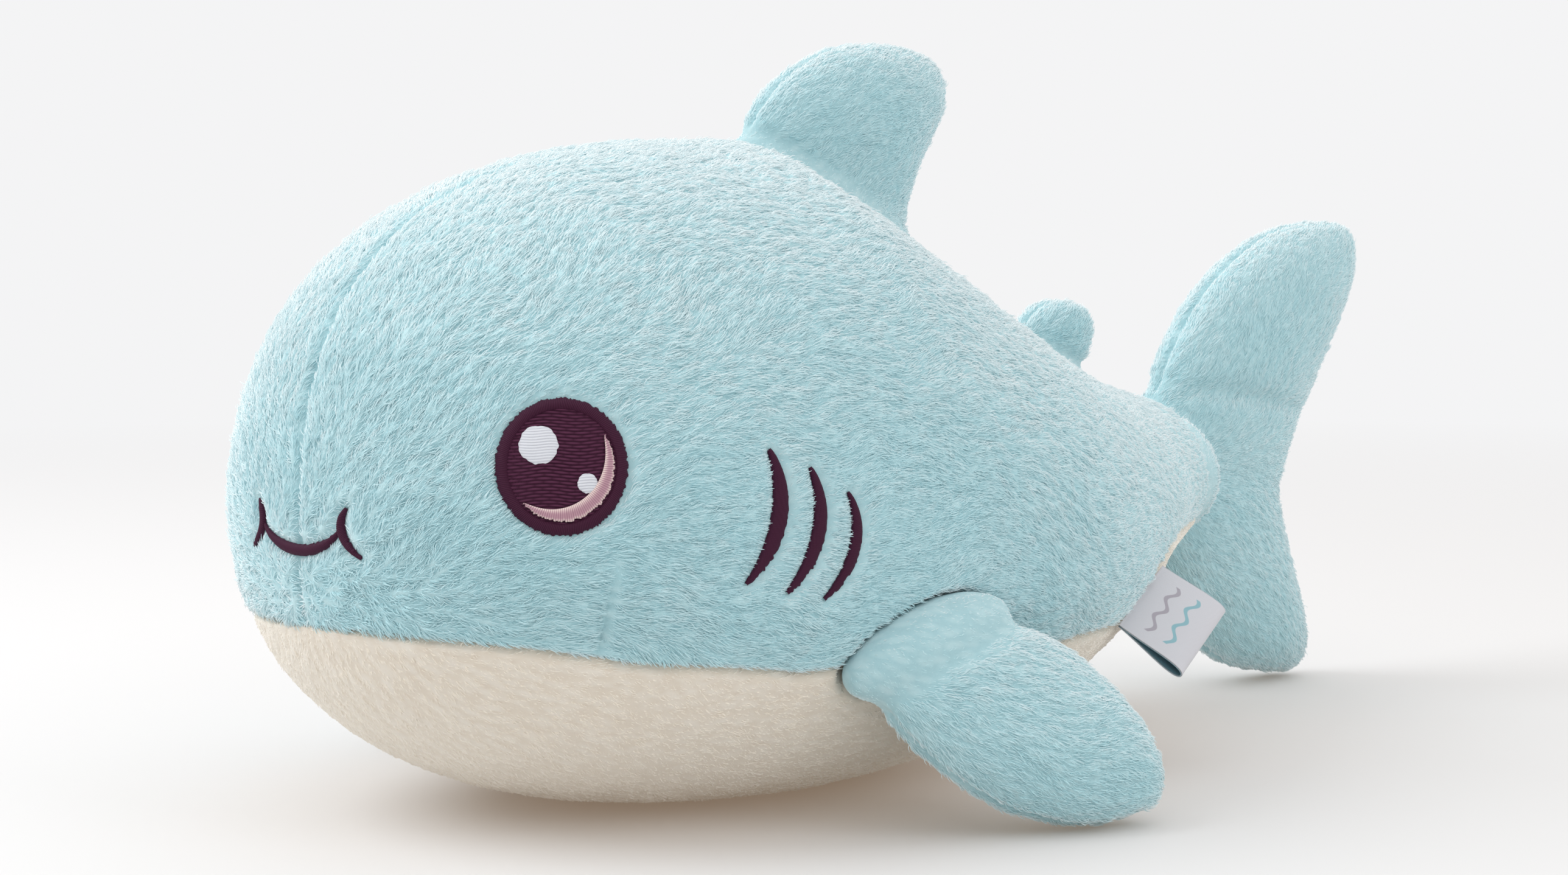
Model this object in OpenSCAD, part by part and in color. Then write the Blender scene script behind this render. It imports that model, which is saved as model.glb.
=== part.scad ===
// Plush shark: a sewn skin of fleece panels over polyester filling, with six
// sewn-on pieces that flex at their seams. +Z is up, the nose points to -Y and
// the shark's left side is +X. The floor is z = 0.

/* [Body] */
// Height of the body at its tallest section
body_h = 165; // [155:1:175]
// Half of the body's greatest width
body_hw = 90; // [84:1:94]
// Length from the widest section forward to the nose
nose_len = 131; // [125:1:137]
// Height of the widest line above the floor, at the widest section
waist_z = 57; // [54:1:60]
// How far the belly is pressed flat by the body's own weight
belly_press = 2.5; // [2:0.5:3]
// Distance from the widest section back to the seam that joins the tail
tail_seam = 177; // [176:1:184]

/* [Fabric] */
// Thickness of the fleece, without its pile
fleece = 1.8; // [1.4:0.1:2.2]
// Free space between a sewn piece and what it turns in
clearance = 0.5; // [0.4:0.05:0.6]
// Space between the body's skin and its filling, for backing and seam allowances
lining = 2.4; // [2.2:0.1:2.8]
// Radius of the sewing thread
thread_r = 0.45; // [0.35:0.05:0.5]
// Height of the embroidery above the fleece
embroidery_h = 0.9; // [0.6:0.1:1.2]

/* [Eyes] */
// Width of an embroidered eye
eye_w = 29; // [26:0.5:31]
// Height of an embroidered eye
eye_h = 30.5; // [28:0.5:32]

/* [Label] */
// Width of the folded ribbon label, along the seam
label_w = 33; // [26:1:36]
// Length of the label from the seam to its fold
label_len = 21; // [18:1:26]

/* [Hidden] */

// Colours
sea_blue = [0.60, 0.80, 0.84];
cream = [0.88, 0.83, 0.74];
plum = [0.27, 0.13, 0.23];
glint_white = [0.90, 0.91, 0.94];
mauve = [0.76, 0.58, 0.66];
thread_blue = [0.42, 0.62, 0.68];
filling_white = [0.95, 0.95, 0.93];
backing_white = [0.90, 0.90, 0.88];
label_grey = [0.85, 0.85, 0.88];

// ---- Small vector helpers ----
function unit(v) = v / norm(v);
function mix(a, b, t) = a + (b - a) * t;
function ease(t) = t * t * (3 - 2 * t);
function clamp(v, lo, hi) = min(max(v, lo), hi);
function bezier(p, t) = let (u = 1 - t)
    u * u * u * p[0] + 3 * u * u * t * p[1] + 3 * u * t * t * p[2] + t * t * t * p[3];

// ---- The body's shape ----
rear_curve = 206;    // length over which the rear tapers, a little past the tail seam
nose_z = 78.5;       // height of the nose
end_hw = 21.5;       // half width where the taper ends
end_top = 91;        // highest and lowest point where the taper ends
end_bottom = 50;
side_seam_z = 39.5;  // height of the belly seam at the widest section, nose and tail
nose_seam_z = 52.5;
tail_seam_z = 58;
seam_rise = [70, 125]; // stations between which the belly seam climbs to the tail

// One quarter of a superellipse: 1 at s = 0, falling to 0 at s = 1
function quarter(s, p) = pow(max(0, 1 - pow(s, p)), 1 / p);

// Half width, top, bottom and waist height at station y, for a skin set in by d
function front_section(s, d) =
    let (m = mix(waist_z, nose_z, s * s), below = waist_z + belly_press - d)
    [(body_hw - d) * quarter(s, 2.3), m + (body_h - waist_z - d) * quarter(s, 2.15),
     m - below * quarter(s, 3.4), m];
function rear_section(r, d) =
    let (m = mix(waist_z, (end_top + end_bottom) / 2, ease(pow(r, 1.2))))
    [mix(body_hw, end_hw, ease(pow(r, 1.38))) - d, mix(body_h, end_top, ease(pow(r, 0.64))) - d,
     mix(-belly_press, end_bottom, ease(pow(r, 1.2))) + d, m];
function section(y, d) = y < 0 ? front_section(min(1, -y / (nose_len - d)), d)
    : rear_section(y / rear_curve, d);

// A point of the skin at station y and at angle a round the waist line
function skin_point(y, a, d) = let (c = section(y, d), up = sin(a) > 0)
    [c[0] * cos(a), y, max(d, c[3] + (up ? c[1] - c[3] : c[3] - c[2]) * sin(a))];

// Height of the belly seam, and its angle round the section
function seam_z(y) = y < 0 ? mix(side_seam_z, nose_seam_z, pow(min(1, -y / nose_len), 2))
    : mix(side_seam_z, tail_seam_z, ease(clamp((y - seam_rise[0]) / (seam_rise[1] - seam_rise[0]), 0, 1)));
function seam_angle(y) = let (c = section(y, 0), z = seam_z(y))
    z < c[3] ? -asin(clamp((c[3] - z) / max(1, c[3] - c[2]), 0, 1))
    : asin(clamp((z - c[3]) / max(1, c[1] - c[3]), 0, 1));
// Half of the gap that the thread lies in, as an angle at angle a of the section
thread_gap = thread_r + 0.2;
function gap_angle(y, a, turn = 1) = let (c = section(y, 0), h = a > 0 ? c[1] - c[3] : c[3] - c[2])
    clamp(57.3 * thread_gap / turn / max(1, norm([c[0] * sin(a), h * cos(a)])), 0, 12);
// The belly seam crosses the sections at a slant where it climbs, so its gap is wider there;
// at the very tip of the nose the section is a point and has no slant
function seam_gap(y) = let (a = seam_angle(y), t = unit(skin_point(y + 2, seam_angle(y + 2), 0)
        - skin_point(y - 1, seam_angle(y - 1), 0)), r = skin_point(y, a + 1, 0) - skin_point(y, a - 1, 0))
    gap_angle(y, a, norm(r) < 0.001 ? 1 : max(0.3, norm(cross(t, unit(r)))));

// Stations from the nose to the tail seam: close together where the nose turns
front_rings = 10;
rear_rings = 9;
function station(i, d) = i <= front_rings ? -(nose_len - d) * cos(90 * i / front_rings)
    : tail_seam * (i - front_rings) / rear_rings;
rings = front_rings + rear_rings;

// Whether a point is inside the body's outer skin: below 1 is inside
function depth(p) = let (c = section(p[1], 0), h = p[2] > c[3] ? c[1] - c[3] : c[3] - c[2])
    p[1] < -nose_len || c[0] < 0.01 ? 2 : pow(p[0] / c[0], 2) + pow((p[2] - c[3]) / h, 2);
// Where the line from a (outside) to b (inside) meets the skin
function meet(a, b, n = 16) = n == 0 ? (a + b) / 2
    : let (m = (a + b) / 2) depth(m) < 1 ? meet(a, m, n - 1) : meet(m, b, n - 1);
function drop(p, n) = meet(p + 30 * n, p - 30 * n);

// ---- Solids from grids of points ----
function flat_list(g) = [for (r = g) for (p = r) p];
function quad(a, b, c, d) = [[a, b, c], [a, c, d]];

// A closed solid round a stack of rings; the ends are capped
module loft(rows) {
    n = len(rows[0]);
    last = (len(rows) - 1) * n;
    polyhedron(flat_list(rows), concat(
        [for (i = [0:len(rows) - 2], j = [0:n - 1], t = let (k = (j + 1) % n)
            quad(i * n + j, i * n + k, i * n + n + k, i * n + n + j)) t],
        [for (j = [1:n - 2]) [0, j + 1, j]], [for (j = [1:n - 2]) [last, last + j, last + j + 1]]));
}

// A sheet with thickness between two grids of points; wrapped sheets close on themselves
module sheet(top, under, wrapped = false) {
    n = len(top[0]);
    m = len(top);
    k = n * m;
    cells = wrapped ? n - 1 : n - 2;
    polyhedron(concat(flat_list(top), flat_list(under)), concat(
        [for (i = [0:m - 2], j = [0:cells], t = let (a = i * n + j, b = i * n + (j + 1) % n)
            concat(quad(a, b, b + n, a + n), quad(k + a + n, k + b + n, k + b, k + a))) t],
        [for (j = [0:cells], t = let (a = j, b = (j + 1) % n, e = (m - 1) * n)
            concat(quad(k + a, k + b, b, a), quad(e + a, e + b, k + e + b, k + e + a))) t],
        wrapped ? [] : [for (i = [0:m - 2], t = let (a = i * n, e = i * n + n - 1)
            concat(quad(a, a + n, k + a + n, k + a), quad(k + e, k + e + n, e + n, e))) t]));
}

// A thread along a path, with six sides
module thread(path, r = thread_r) {
    n = len(path);
    loft([for (i = [0:n - 1]) let (t = unit(path[min(n - 1, i + 1)] - path[max(0, i - 1)]),
        u = unit(cross(t, abs(t[0]) > 0.8 ? [0, 0, 1] : [1, 0, 0])), v = cross(u, t))
        [for (a = [0:60:300]) path[i] + r * (cos(a) * u + sin(a) * v)]]);
}

// Everything on one side of the plane through p that n points away from
module keep_side(p, n, size = 260) {
    translate(p) multmatrix(facing(n)) translate([-size, -size, 0]) cube([2 * size, 2 * size, size]);
}
function facing(n) = let (w = unit(n), u = unit(cross(abs(w[0]) > 0.8 ? [0, 0, 1] : [1, 0, 0], w)),
    v = cross(w, u)) [[u[0], v[0], w[0], 0], [u[1], v[1], w[1], 0], [u[2], v[2], w[2], 0], [0, 0, 0, 1]];

// ---- Fins ----
// Each fin is a flat blade on a rounded root. The root turns in a socket of the
// same shape in the body, as the sewn seam lets it. A fin's frame has its hinge
// line along its first axis, its blade along its second, and its thickness along
// its third: [origin, along, out, across].
function place(f, q) = f[0] + q[0] * f[1] + q[1] * f[2] + q[2] * f[3];

// front and back are the blade's two edges from root to tip, as Bezier curves
blade_rows = 8;
blade_ring = 12;
function blade_half(t, v) = t * (0.66 + 0.34 * sin(180 * v)) * pow(max(0, 1 - pow(v, 4)), 0.5);
function blade_section(f, front, back, t, v, d) =
    let (a = bezier(front, v), b = bezier(back, v), c = (a + b) / 2, h = (a - b) / 2,
         s = max(0.3, norm(h) - d) / max(0.01, norm(h)), w = max(0.25, blade_half(t, v) - d))
    [for (j = [0:blade_ring - 1]) let (g = 360 * j / blade_ring)
        place(f, [c[0] + s * cos(g) * h[0], c[1] + s * cos(g) * h[1], -w * sin(g)])];
module blade(f, front, back, t, d) {
    stop = 1 - 0.05 * d;
    loft([for (i = [0:blade_rows]) blade_section(f, front, back, t, stop * sin(90 * i / blade_rows), d)]);
}
// The rounded root: half_len along the hinge line and r round it
module root(f, half_len, r, d) {
    multmatrix([for (i = [0:2]) [f[1][i] * (half_len - d), f[2][i] * (r - d), f[3][i] * (r - d), f[0][i]]])
        rotate([0, 90, 0]) sphere(1, $fn = 20);
}
// The fin's edge seam: up its front, over the tip and down its back
function edge_path(f, front, back, from, to) = concat(
    [for (i = [0:8]) let (q = bezier(front, mix(from, 1, i / 8))) place(f, [q[0], q[1], 0])],
    [for (i = [1:8]) let (q = bezier(back, mix(1, to, i / 8))) place(f, [q[0], q[1], 0])]);

// A fin: [frame, front edge, back edge, half thickness, root half length, root radius]
module fin_solid(fin, d) {
    blade(fin[0], fin[1], fin[2], fin[3], d);
    root(fin[0], fin[4], fin[5], d);
}
module fin_panel(fin, side) {
    resize([0, 0, 0]) intersection() {
        difference() {
            fin_solid(fin, 0);
            fin_solid(fin, fleece);
        }
        keep_side(fin[0][0] + side * (thread_r + 0.1) * fin[0][3], side * fin[0][3]);
    }
}
module fin_filling(fin, inset = fleece + 0.3) {
    resize([0, 0, 0]) fin_solid(fin, inset);
}
module fin_thread(fin) {
    thread(edge_path(fin[0], fin[1], fin[2], 0.28, 0.28));
}
module fin_socket(fin) {
    root(fin[0], fin[4], fin[5], -clearance);
}

// The frames: hinge lines lie on the skin, and blades leave it squarely
dorsal_axis = unit([0, 76, -41]);
dorsal_frame = [[0, 42, 146], dorsal_axis, unit(cross([1, 0, 0], dorsal_axis)), [1, 0, 0]];
dorsal = [dorsal_frame, [[-38, 0], [-38, 24], [-22, 50], [12, 57]],
    [[34, 0], [8, 24], [36, 55], [12, 57]], 13, 40, 13.5];

second_axis = unit([0, 36, -11]);
second_frame = [[0, 133, 104], second_axis, unit(cross([1, 0, 0], second_axis)), [1, 0, 0]];
second_dorsal = [second_frame, [[-15, 0], [-13, 15], [-2, 21], [7, 20]],
    [[16, 0], [13, 8], [19, 18], [7, 20]], 7.5, 17.5, 8];

flap_axis = unit([0.18, 0.94, 0.29]);
flap_droop = 66;
flap_level = unit([1, 0, 0] - flap_axis[0] * flap_axis);
flap_down = cross(flap_axis, flap_level);
flap_out = cos(flap_droop) * flap_level + sin(flap_droop) * flap_down;
pectoral_frame = [[89.8, -16, 44.5], flap_axis, flap_out, cross(flap_axis, flap_out)];
pectoral_front = [[-20, 0], [-17, 24], [4, 57], [38, 57]];
pectoral_back = [[19, 0], [32, 14], [54, 50], [38, 57]];
left_pectoral = [pectoral_frame, pectoral_front, pectoral_back, 12, 25, 10.5];

// ---- Tail ----
// The tail turns about an upright line through the seam
tail_section = section(tail_seam, 0);
tail_mid = (tail_section[1] + tail_section[2]) / 2;
tail_root_r = tail_section[0] - fleece - clearance - 0.3;
tail_root_h = (tail_section[1] - tail_section[2]) / 2 - fleece - clearance - 0.3;
upright = [[0, 0, 0], [0, 1, 0], [0, 0, 1], [1, 0, 0]];
upright_down = [[0, 0, 0], [0, 1, 0], [0, 0, 1], [-1, 0, 0]];
upper_lobe = [upright, [[178, 72], [188, 112], [227, 152], [284, 146]],
    [[246, 52], [252, 92], [306, 134], [284, 146]], 14];
lower_lobe = [upright_down, [[178, 72], [184, 24], [216, 3], [257, 2]],
    [[248, 74], [242, 38], [276, 12], [257, 2]], 14];

module tail_solid(d) {
    blade(upper_lobe[0], upper_lobe[1], upper_lobe[2], upper_lobe[3], d);
    blade(lower_lobe[0], lower_lobe[1], lower_lobe[2], lower_lobe[3], d);
    translate([0, tail_seam, tail_mid])
        multmatrix([[tail_root_r - d, 0, 0, 0], [0, tail_root_r - d, 0, 0],
            [0, 0, tail_root_h - d, 0], [0, 0, 0, 1]]) sphere(1, $fn = 24);
}
module tail_socket() {
    translate([0, tail_seam, tail_mid])
        multmatrix([[tail_root_r + clearance, 0, 0, 0], [0, tail_root_r + clearance, 0, 0],
            [0, 0, tail_root_h + clearance, 0], [0, 0, 0, 1]]) sphere(1, $fn = 24);
}
module tail_panel(side) {
    resize([0, 0, 0]) intersection() {
        difference() {
            tail_solid(0);
            tail_solid(fleece);
        }
        keep_side([side * (thread_r + 0.1), 0, 0], [side, 0, 0], 320);
    }
}

module sockets() {
    fin_socket(dorsal);
    fin_socket(second_dorsal);
    fin_socket(left_pectoral);
    mirror([1, 0, 0]) fin_socket(left_pectoral);
}

// ---- Body ----
side_cells = 8;
belly_cells = 12;
function side_grid(d) = [for (i = [0:rings]) let (y = station(i, d), yo = station(i, 0),
    lo = seam_angle(yo) + seam_gap(yo), hi = 90 - gap_angle(yo, 90))
    [for (j = [0:side_cells]) skin_point(y, mix(lo, hi, j / side_cells), d)]];
function belly_grid(d) = [for (i = [0:rings]) let (y = station(i, d), yo = station(i, 0),
    hi = max(-89, seam_angle(yo) - seam_gap(yo)), lo = -180 - hi)
    [for (j = [0:belly_cells]) skin_point(y, mix(lo, hi, j / belly_cells), d)]];

// The filling's angles match the panels', so its facets lie along theirs
function filling_angles(y) = let (lo = seam_angle(y), up = 90 - lo) concat(
    [for (j = [0:side_cells]) lo + up * j / side_cells],
    [for (j = [1:side_cells]) 90 + up * j / side_cells],
    [for (j = [1:belly_cells - 1]) mix(180 - lo, 360 + lo, j / belly_cells)]);

module side_panel() {
    resize([0, 0, 0]) difference() {
        sheet(side_grid(0), side_grid(fleece));
        sockets();
    }
}
module left_side_panel() {
    color(sea_blue) side_panel();
}
module right_side_panel() {
    color(sea_blue) mirror([1, 0, 0]) side_panel();
}
module belly_panel() {
    color(cream) resize([0, 0, 0]) difference() {
        sheet(belly_grid(0), belly_grid(fleece));
        sockets();
    }
}
module body_filling() {
    d = fleece + lining;
    color(filling_white) resize([0, 0, 0]) difference() {
        loft([for (i = [0:rings])
            [for (a = filling_angles(station(i, 0))) skin_point(station(i, d), a, d)]]);
        sockets();
        tail_socket();
    }
}
module back_seam_thread() {
    color(thread_blue) resize([0, 0, 0]) difference() {
        thread([for (i = [1:rings]) skin_point(station(i, 0), 90, thread_r)]);
        sockets();
    }
}
function seam_point(i) = let (y = station(i, 0)) skin_point(y, seam_angle(y), thread_r);
module belly_seam() {
    color(thread_blue) resize([0, 0, 0]) difference() {
        thread(concat([mix(seam_point(3), seam_point(4), 0.15)], [for (i = [4:rings]) seam_point(i)]));
        sockets();
    }
}
module left_belly_seam_thread() { belly_seam(); }
module right_belly_seam_thread() { mirror([1, 0, 0]) belly_seam(); }

// ---- Fins ----
module dorsal_left_panel() { color(sea_blue) fin_panel(dorsal, 1); }
module dorsal_right_panel() { color(sea_blue) fin_panel(dorsal, -1); }
module dorsal_filling() { color(filling_white) fin_filling(dorsal); }
module dorsal_seam_thread() { color(thread_blue) fin_thread(dorsal); }
module second_dorsal_left_panel() { color(sea_blue) fin_panel(second_dorsal, 1); }
module second_dorsal_right_panel() { color(sea_blue) fin_panel(second_dorsal, -1); }
module second_dorsal_filling() { color(filling_white) fin_filling(second_dorsal, fleece + 0.8); }
module second_dorsal_seam_thread() { color(thread_blue) fin_thread(second_dorsal); }
module tail_left_panel() { color(sea_blue) tail_panel(1); }
module tail_right_panel() { color(sea_blue) tail_panel(-1); }
module tail_filling() { color(filling_white) resize([0, 0, 0]) tail_solid(fleece + 0.3); }
module tail_seam_thread() {
    color(thread_blue) {
        thread(edge_path(upper_lobe[0], upper_lobe[1], upper_lobe[2], 0.35, 0.35));
        thread(edge_path(lower_lobe[0], lower_lobe[1], lower_lobe[2], 0.45, 0.45));
    }
}
module left_pectoral_upper_panel() { color(sea_blue) fin_panel(left_pectoral, -1); }
module left_pectoral_lower_panel() { color(sea_blue) fin_panel(left_pectoral, 1); }
module left_pectoral_filling() { color(filling_white) fin_filling(left_pectoral); }
module left_pectoral_seam_thread() { color(thread_blue) fin_thread(left_pectoral); }
module right_pectoral_upper_panel() { mirror([1, 0, 0]) left_pectoral_upper_panel(); }
module right_pectoral_lower_panel() { mirror([1, 0, 0]) left_pectoral_lower_panel(); }
module right_pectoral_filling() { mirror([1, 0, 0]) left_pectoral_filling(); }
module right_pectoral_seam_thread() { mirror([1, 0, 0]) left_pectoral_seam_thread(); }

// ---- Embroidery ----
// A patch's own plane has its origin on the skin, s along e1 and t along e2; its
// points drop onto the skin along n. A patch is [origin, e1, e2, n].
function patch_point(f, s, t, h) = drop(f[0] + s * f[1] + t * f[2], f[3]) + h * f[3];
function patch(p, n) = let (w = unit(n), e1 = unit([-w[1], w[0], 0])) [p, e1, cross(w, e1), w];

// A round or ring-shaped plate, from the inner to the outer radii
module plate(f, c, inner, outer, low, high, steps, sides) {
    angles = [for (j = [0:sides - 1]) 360 * j / sides];
    function at(k, g, h) = let (r = mix(inner, outer, k / steps))
        patch_point(f, c[0] + r[0] * cos(g), c[1] + r[1] * sin(g), h);
    sheet([for (k = [0:steps]) [for (g = angles) at(k, g, high)]],
        [for (k = [0:steps]) [for (g = angles) at(k, g, low)]], true);
}
// A stroke along a Bezier curve, widest in the middle and pointed at both ends
module stroke(f, curve, width, low, high, n = 12) {
    function side(v, s) = let (q = bezier(curve, v),
        t = unit(bezier(curve, min(1, v + 0.01)) - bezier(curve, max(0, v - 0.01))),
        w = s * width / 2 * (0.18 + 0.82 * pow(sin(180 * v), 0.8)))
        [q[0] - t[1] * w, q[1] + t[0] * w];
    sheet(
        [for (s = [1, 0, -1])
            [for (i = [0:n]) let (q = side(i / n, s)) patch_point(f, q[0], q[1], high)]],
        [for (s = [1, 0, -1])
            [for (i = [0:n]) let (q = side(i / n, s)) patch_point(f, q[0], q[1], low)]]);
}

eye_patch = patch([59.6, -103, 90.2], [0.77, -0.61, 0.19]);
eye_r = [eye_w / 2, eye_h / 2];
border_w = 2.6;
inner_r = eye_r - [border_w, border_w];
seat = 0.05;
module eye_fill() {
    color(plum) plate(eye_patch, [0, 0], [0, 0], inner_r - [0.05, 0.05], seat, embroidery_h, 3, 28);
}
module eye_border() {
    color(plum) plate(eye_patch, [0, 0], inner_r, eye_r, seat, embroidery_h + 0.4, 1, 28);
}
module glint(at, r) {
    color(glint_white) plate(eye_patch, [at[0] * eye_r[0], at[1] * eye_r[1]], [0, 0], [r, r] * eye_w / 2,
        embroidery_h + seat, embroidery_h + 0.5, 1, 16);
}
module large_glint() { glint([-0.35, 0.31], 0.30); }
module small_glint() { glint([0.372, -0.242], 0.15); }
// The crescent follows the inside of the border, thickest below and behind
module crescent() {
    turn = [for (i = [0:14]) mix(34, -138, i / 14)];
    function at(g, k, h) = let (w = 0.24 * pow(sin(180 * (34 - g) / 172), 0.7) + 0.01, r = 0.985 - k * w)
        patch_point(eye_patch, inner_r[0] * r * cos(g), inner_r[1] * r * sin(g), h);
    color(mauve) sheet([for (k = [0, 1]) [for (g = turn) at(g, k, embroidery_h + 0.5)]],
        [for (k = [0, 1]) [for (g = turn) at(g, k, embroidery_h + seat)]]);
}
module left_eye_fill() { eye_fill(); }
module left_eye_border() { eye_border(); }
module left_eye_large_glint() { large_glint(); }
module left_eye_small_glint() { small_glint(); }
module left_eye_crescent() { crescent(); }
module right_eye_fill() { mirror([1, 0, 0]) eye_fill(); }
module right_eye_border() { mirror([1, 0, 0]) eye_border(); }
module right_eye_large_glint() { mirror([1, 0, 0]) large_glint(); }
module right_eye_small_glint() { mirror([1, 0, 0]) small_glint(); }
module right_eye_crescent() { mirror([1, 0, 0]) crescent(); }

// The mouth: a smile between two short cheek strokes
mouth_patch = patch([0, -130.5, 73], [0, -1, 0]);
mouth_half = 14.5;
module cheek_stroke() {
    stroke(mouth_patch, [[17, 7], [14, 3.5], [14.2, -0.5], [21, -4.5]], 2.2, seat, embroidery_h);
}
module mouth_embroidery() {
    color(plum) {
        stroke(mouth_patch, [[-mouth_half + 1.7, 0], [-8, -5], [8, -5], [mouth_half - 1.7, 0]], 2.6,
            seat, embroidery_h);
        cheek_stroke();
        mirror([1, 0, 0]) cheek_stroke();
    }
}

// Three gill slits, each a crescent that bows towards the tail
gill_patch = patch([84, -52, 77], [0.95, -0.3, 0.1]);
module gills() {
    color(plum) for (g = [[-7.5, 16, 15.2, 4.2], [3, 11.5, 14.2, 3.7], [13, 5.5, 12.2, 3.1]])
        stroke(gill_patch, [[g[0], g[1]], [g[0] + 4, g[1] - g[2] * 0.6],
            [g[0] + 2, g[1] - g[2] * 1.4], [g[0] - 8, g[1] - g[2] * 2]], g[3], seat, embroidery_h);
}
module left_gill_embroidery() { gills(); }
module right_gill_embroidery() { mirror([1, 0, 0]) gills(); }

// Non-woven backing behind each embroidered area, inside the skin
backing_depth = fleece + 1.05;
module backing(f, c, r) {
    color(backing_white) plate(f, c, [0, 0], r, -backing_depth - 0.3, -backing_depth, 2, 16);
}
module eye_backing() { backing(eye_patch, [0, 0], eye_r + [3, 3]); }
module gill_backing() { backing(gill_patch, [3, -1], [19, 22]); }
module left_eye_backing() { eye_backing(); }
module right_eye_backing() { mirror([1, 0, 0]) eye_backing(); }
module mouth_backing() { backing(mouth_patch, [0, 0], [25, 11]); }
module left_gill_backing() { gill_backing(); }
module right_gill_backing() { mirror([1, 0, 0]) gill_backing(); }

// ---- Ribbon label ----
// A ribbon folded in two, with its ends sewn into the left belly seam
label_y = 91;
label_seam = skin_point(label_y, seam_angle(label_y), -0.9);
label_along = unit(skin_point(label_y + 13, seam_angle(label_y + 13), 0)
    - skin_point(label_y - 13, seam_angle(label_y - 13), 0));
label_out = unit(cross(label_along, cross([0.66, 0.45, -0.6], label_along)));
label_up = cross(label_out, label_along);
ribbon = 0.5;
loop_h = 3.2;
module ribbon_label() {
    loop = [for (i = [0:20]) let (v = i / 20, w = 1 - pow(abs(2 * v - 1), 2.2))
        [label_len * w, loop_h * sin(360 * v) * 0.5 * pow(w, 0.3) + 0.35 * (1 - 2 * v)]];
    function rib(q, s) = label_seam + q[0] * label_out + q[1] * label_up + s * label_along;
    inner = [for (i = [0:20]) let (t = unit(loop[min(20, i + 1)] - loop[max(0, i - 1)]))
        loop[i] + ribbon * [t[1], -t[0]]];
    color(label_grey) sheet([for (s = [1, -1]) [for (q = loop) rib(q, s * label_w / 2)]],
        [for (s = [1, -1]) [for (q = inner) rib(q, s * label_w / 2)]]);
}

// ---- Assembly: the origin is under the middle of the whole shark ----
centre_y = 78.9;
module placed() { translate([0, -centre_y, 0]) children(); }

placed() left_side_panel();
placed() right_side_panel();
placed() belly_panel();
placed() body_filling();
placed() back_seam_thread();
placed() left_belly_seam_thread();
placed() right_belly_seam_thread();
placed() dorsal_left_panel();
placed() dorsal_right_panel();
placed() dorsal_filling();
placed() dorsal_seam_thread();
placed() second_dorsal_left_panel();
placed() second_dorsal_right_panel();
placed() second_dorsal_filling();
placed() second_dorsal_seam_thread();
placed() tail_left_panel();
placed() tail_right_panel();
placed() tail_filling();
placed() tail_seam_thread();
placed() left_pectoral_upper_panel();
placed() left_pectoral_lower_panel();
placed() left_pectoral_filling();
placed() left_pectoral_seam_thread();
placed() right_pectoral_upper_panel();
placed() right_pectoral_lower_panel();
placed() right_pectoral_filling();
placed() right_pectoral_seam_thread();
placed() left_eye_fill();
placed() left_eye_border();
placed() left_eye_large_glint();
placed() left_eye_small_glint();
placed() left_eye_crescent();
placed() right_eye_fill();
placed() right_eye_border();
placed() right_eye_large_glint();
placed() right_eye_small_glint();
placed() right_eye_crescent();
placed() mouth_embroidery();
placed() left_gill_embroidery();
placed() right_gill_embroidery();
placed() left_eye_backing();
placed() right_eye_backing();
placed() mouth_backing();
placed() left_gill_backing();
placed() right_gill_backing();
placed() ribbon_label();
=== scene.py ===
"""Looks of the plush shark: its furry skin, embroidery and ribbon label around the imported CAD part.

Shapes repeat the part's own formulas. They are worked out in millimetres, with y = 0 at the body's
widest section, +X the shark's left and the nose towards -Y, and become metres when a mesh is made.
"""

import math

import bpy
import numpy as np
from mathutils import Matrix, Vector


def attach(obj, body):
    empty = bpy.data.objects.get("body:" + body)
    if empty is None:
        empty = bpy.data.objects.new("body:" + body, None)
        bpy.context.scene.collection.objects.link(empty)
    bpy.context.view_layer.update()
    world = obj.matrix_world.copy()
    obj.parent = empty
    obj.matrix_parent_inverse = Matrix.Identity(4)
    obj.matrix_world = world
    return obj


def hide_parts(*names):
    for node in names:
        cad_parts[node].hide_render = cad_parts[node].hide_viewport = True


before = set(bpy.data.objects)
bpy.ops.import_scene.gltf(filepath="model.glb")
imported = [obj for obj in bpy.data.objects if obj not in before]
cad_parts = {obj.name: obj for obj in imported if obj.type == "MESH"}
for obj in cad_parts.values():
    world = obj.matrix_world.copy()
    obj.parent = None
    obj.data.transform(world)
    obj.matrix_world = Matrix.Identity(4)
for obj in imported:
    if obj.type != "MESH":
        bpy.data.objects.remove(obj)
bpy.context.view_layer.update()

# ---- The part's sizes ----
CENTRE_Y = 78.9
BODY_H, BODY_HW, NOSE_LEN, WAIST_Z, BELLY_PRESS, TAIL_SEAM = 165, 90, 131, 57, 2.5, 177
REAR_CURVE, NOSE_Z, END_HW, END_TOP, END_BOTTOM = 206, 78.5, 21.5, 91, 50
SIDE_SEAM_Z, NOSE_SEAM_Z, TAIL_SEAM_Z = 39.5, 52.5, 58
SEAM_RISE = (70, 125)
FLEECE, CLEARANCE, THREAD_R, EMBROIDERY_H = 1.8, 0.5, 0.45, 0.9
EYE_R = np.array([14.5, 15.25])
BORDER_W = 2.6
LABEL_W, LABEL_LEN, LABEL_Y = 33, 21, 91
MM = 0.001
FAR = 99.0
FIBRES_PER_MM2 = 4.0
SIDE_PILE, BELLY_PILE, FIN_PILE = 2.4, 1.1, 2.0
FIBRE_RADII = (0.10, 0.105, 0.09, 0.065, 0.025)
STITCH_PITCH = 0.42

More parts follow.
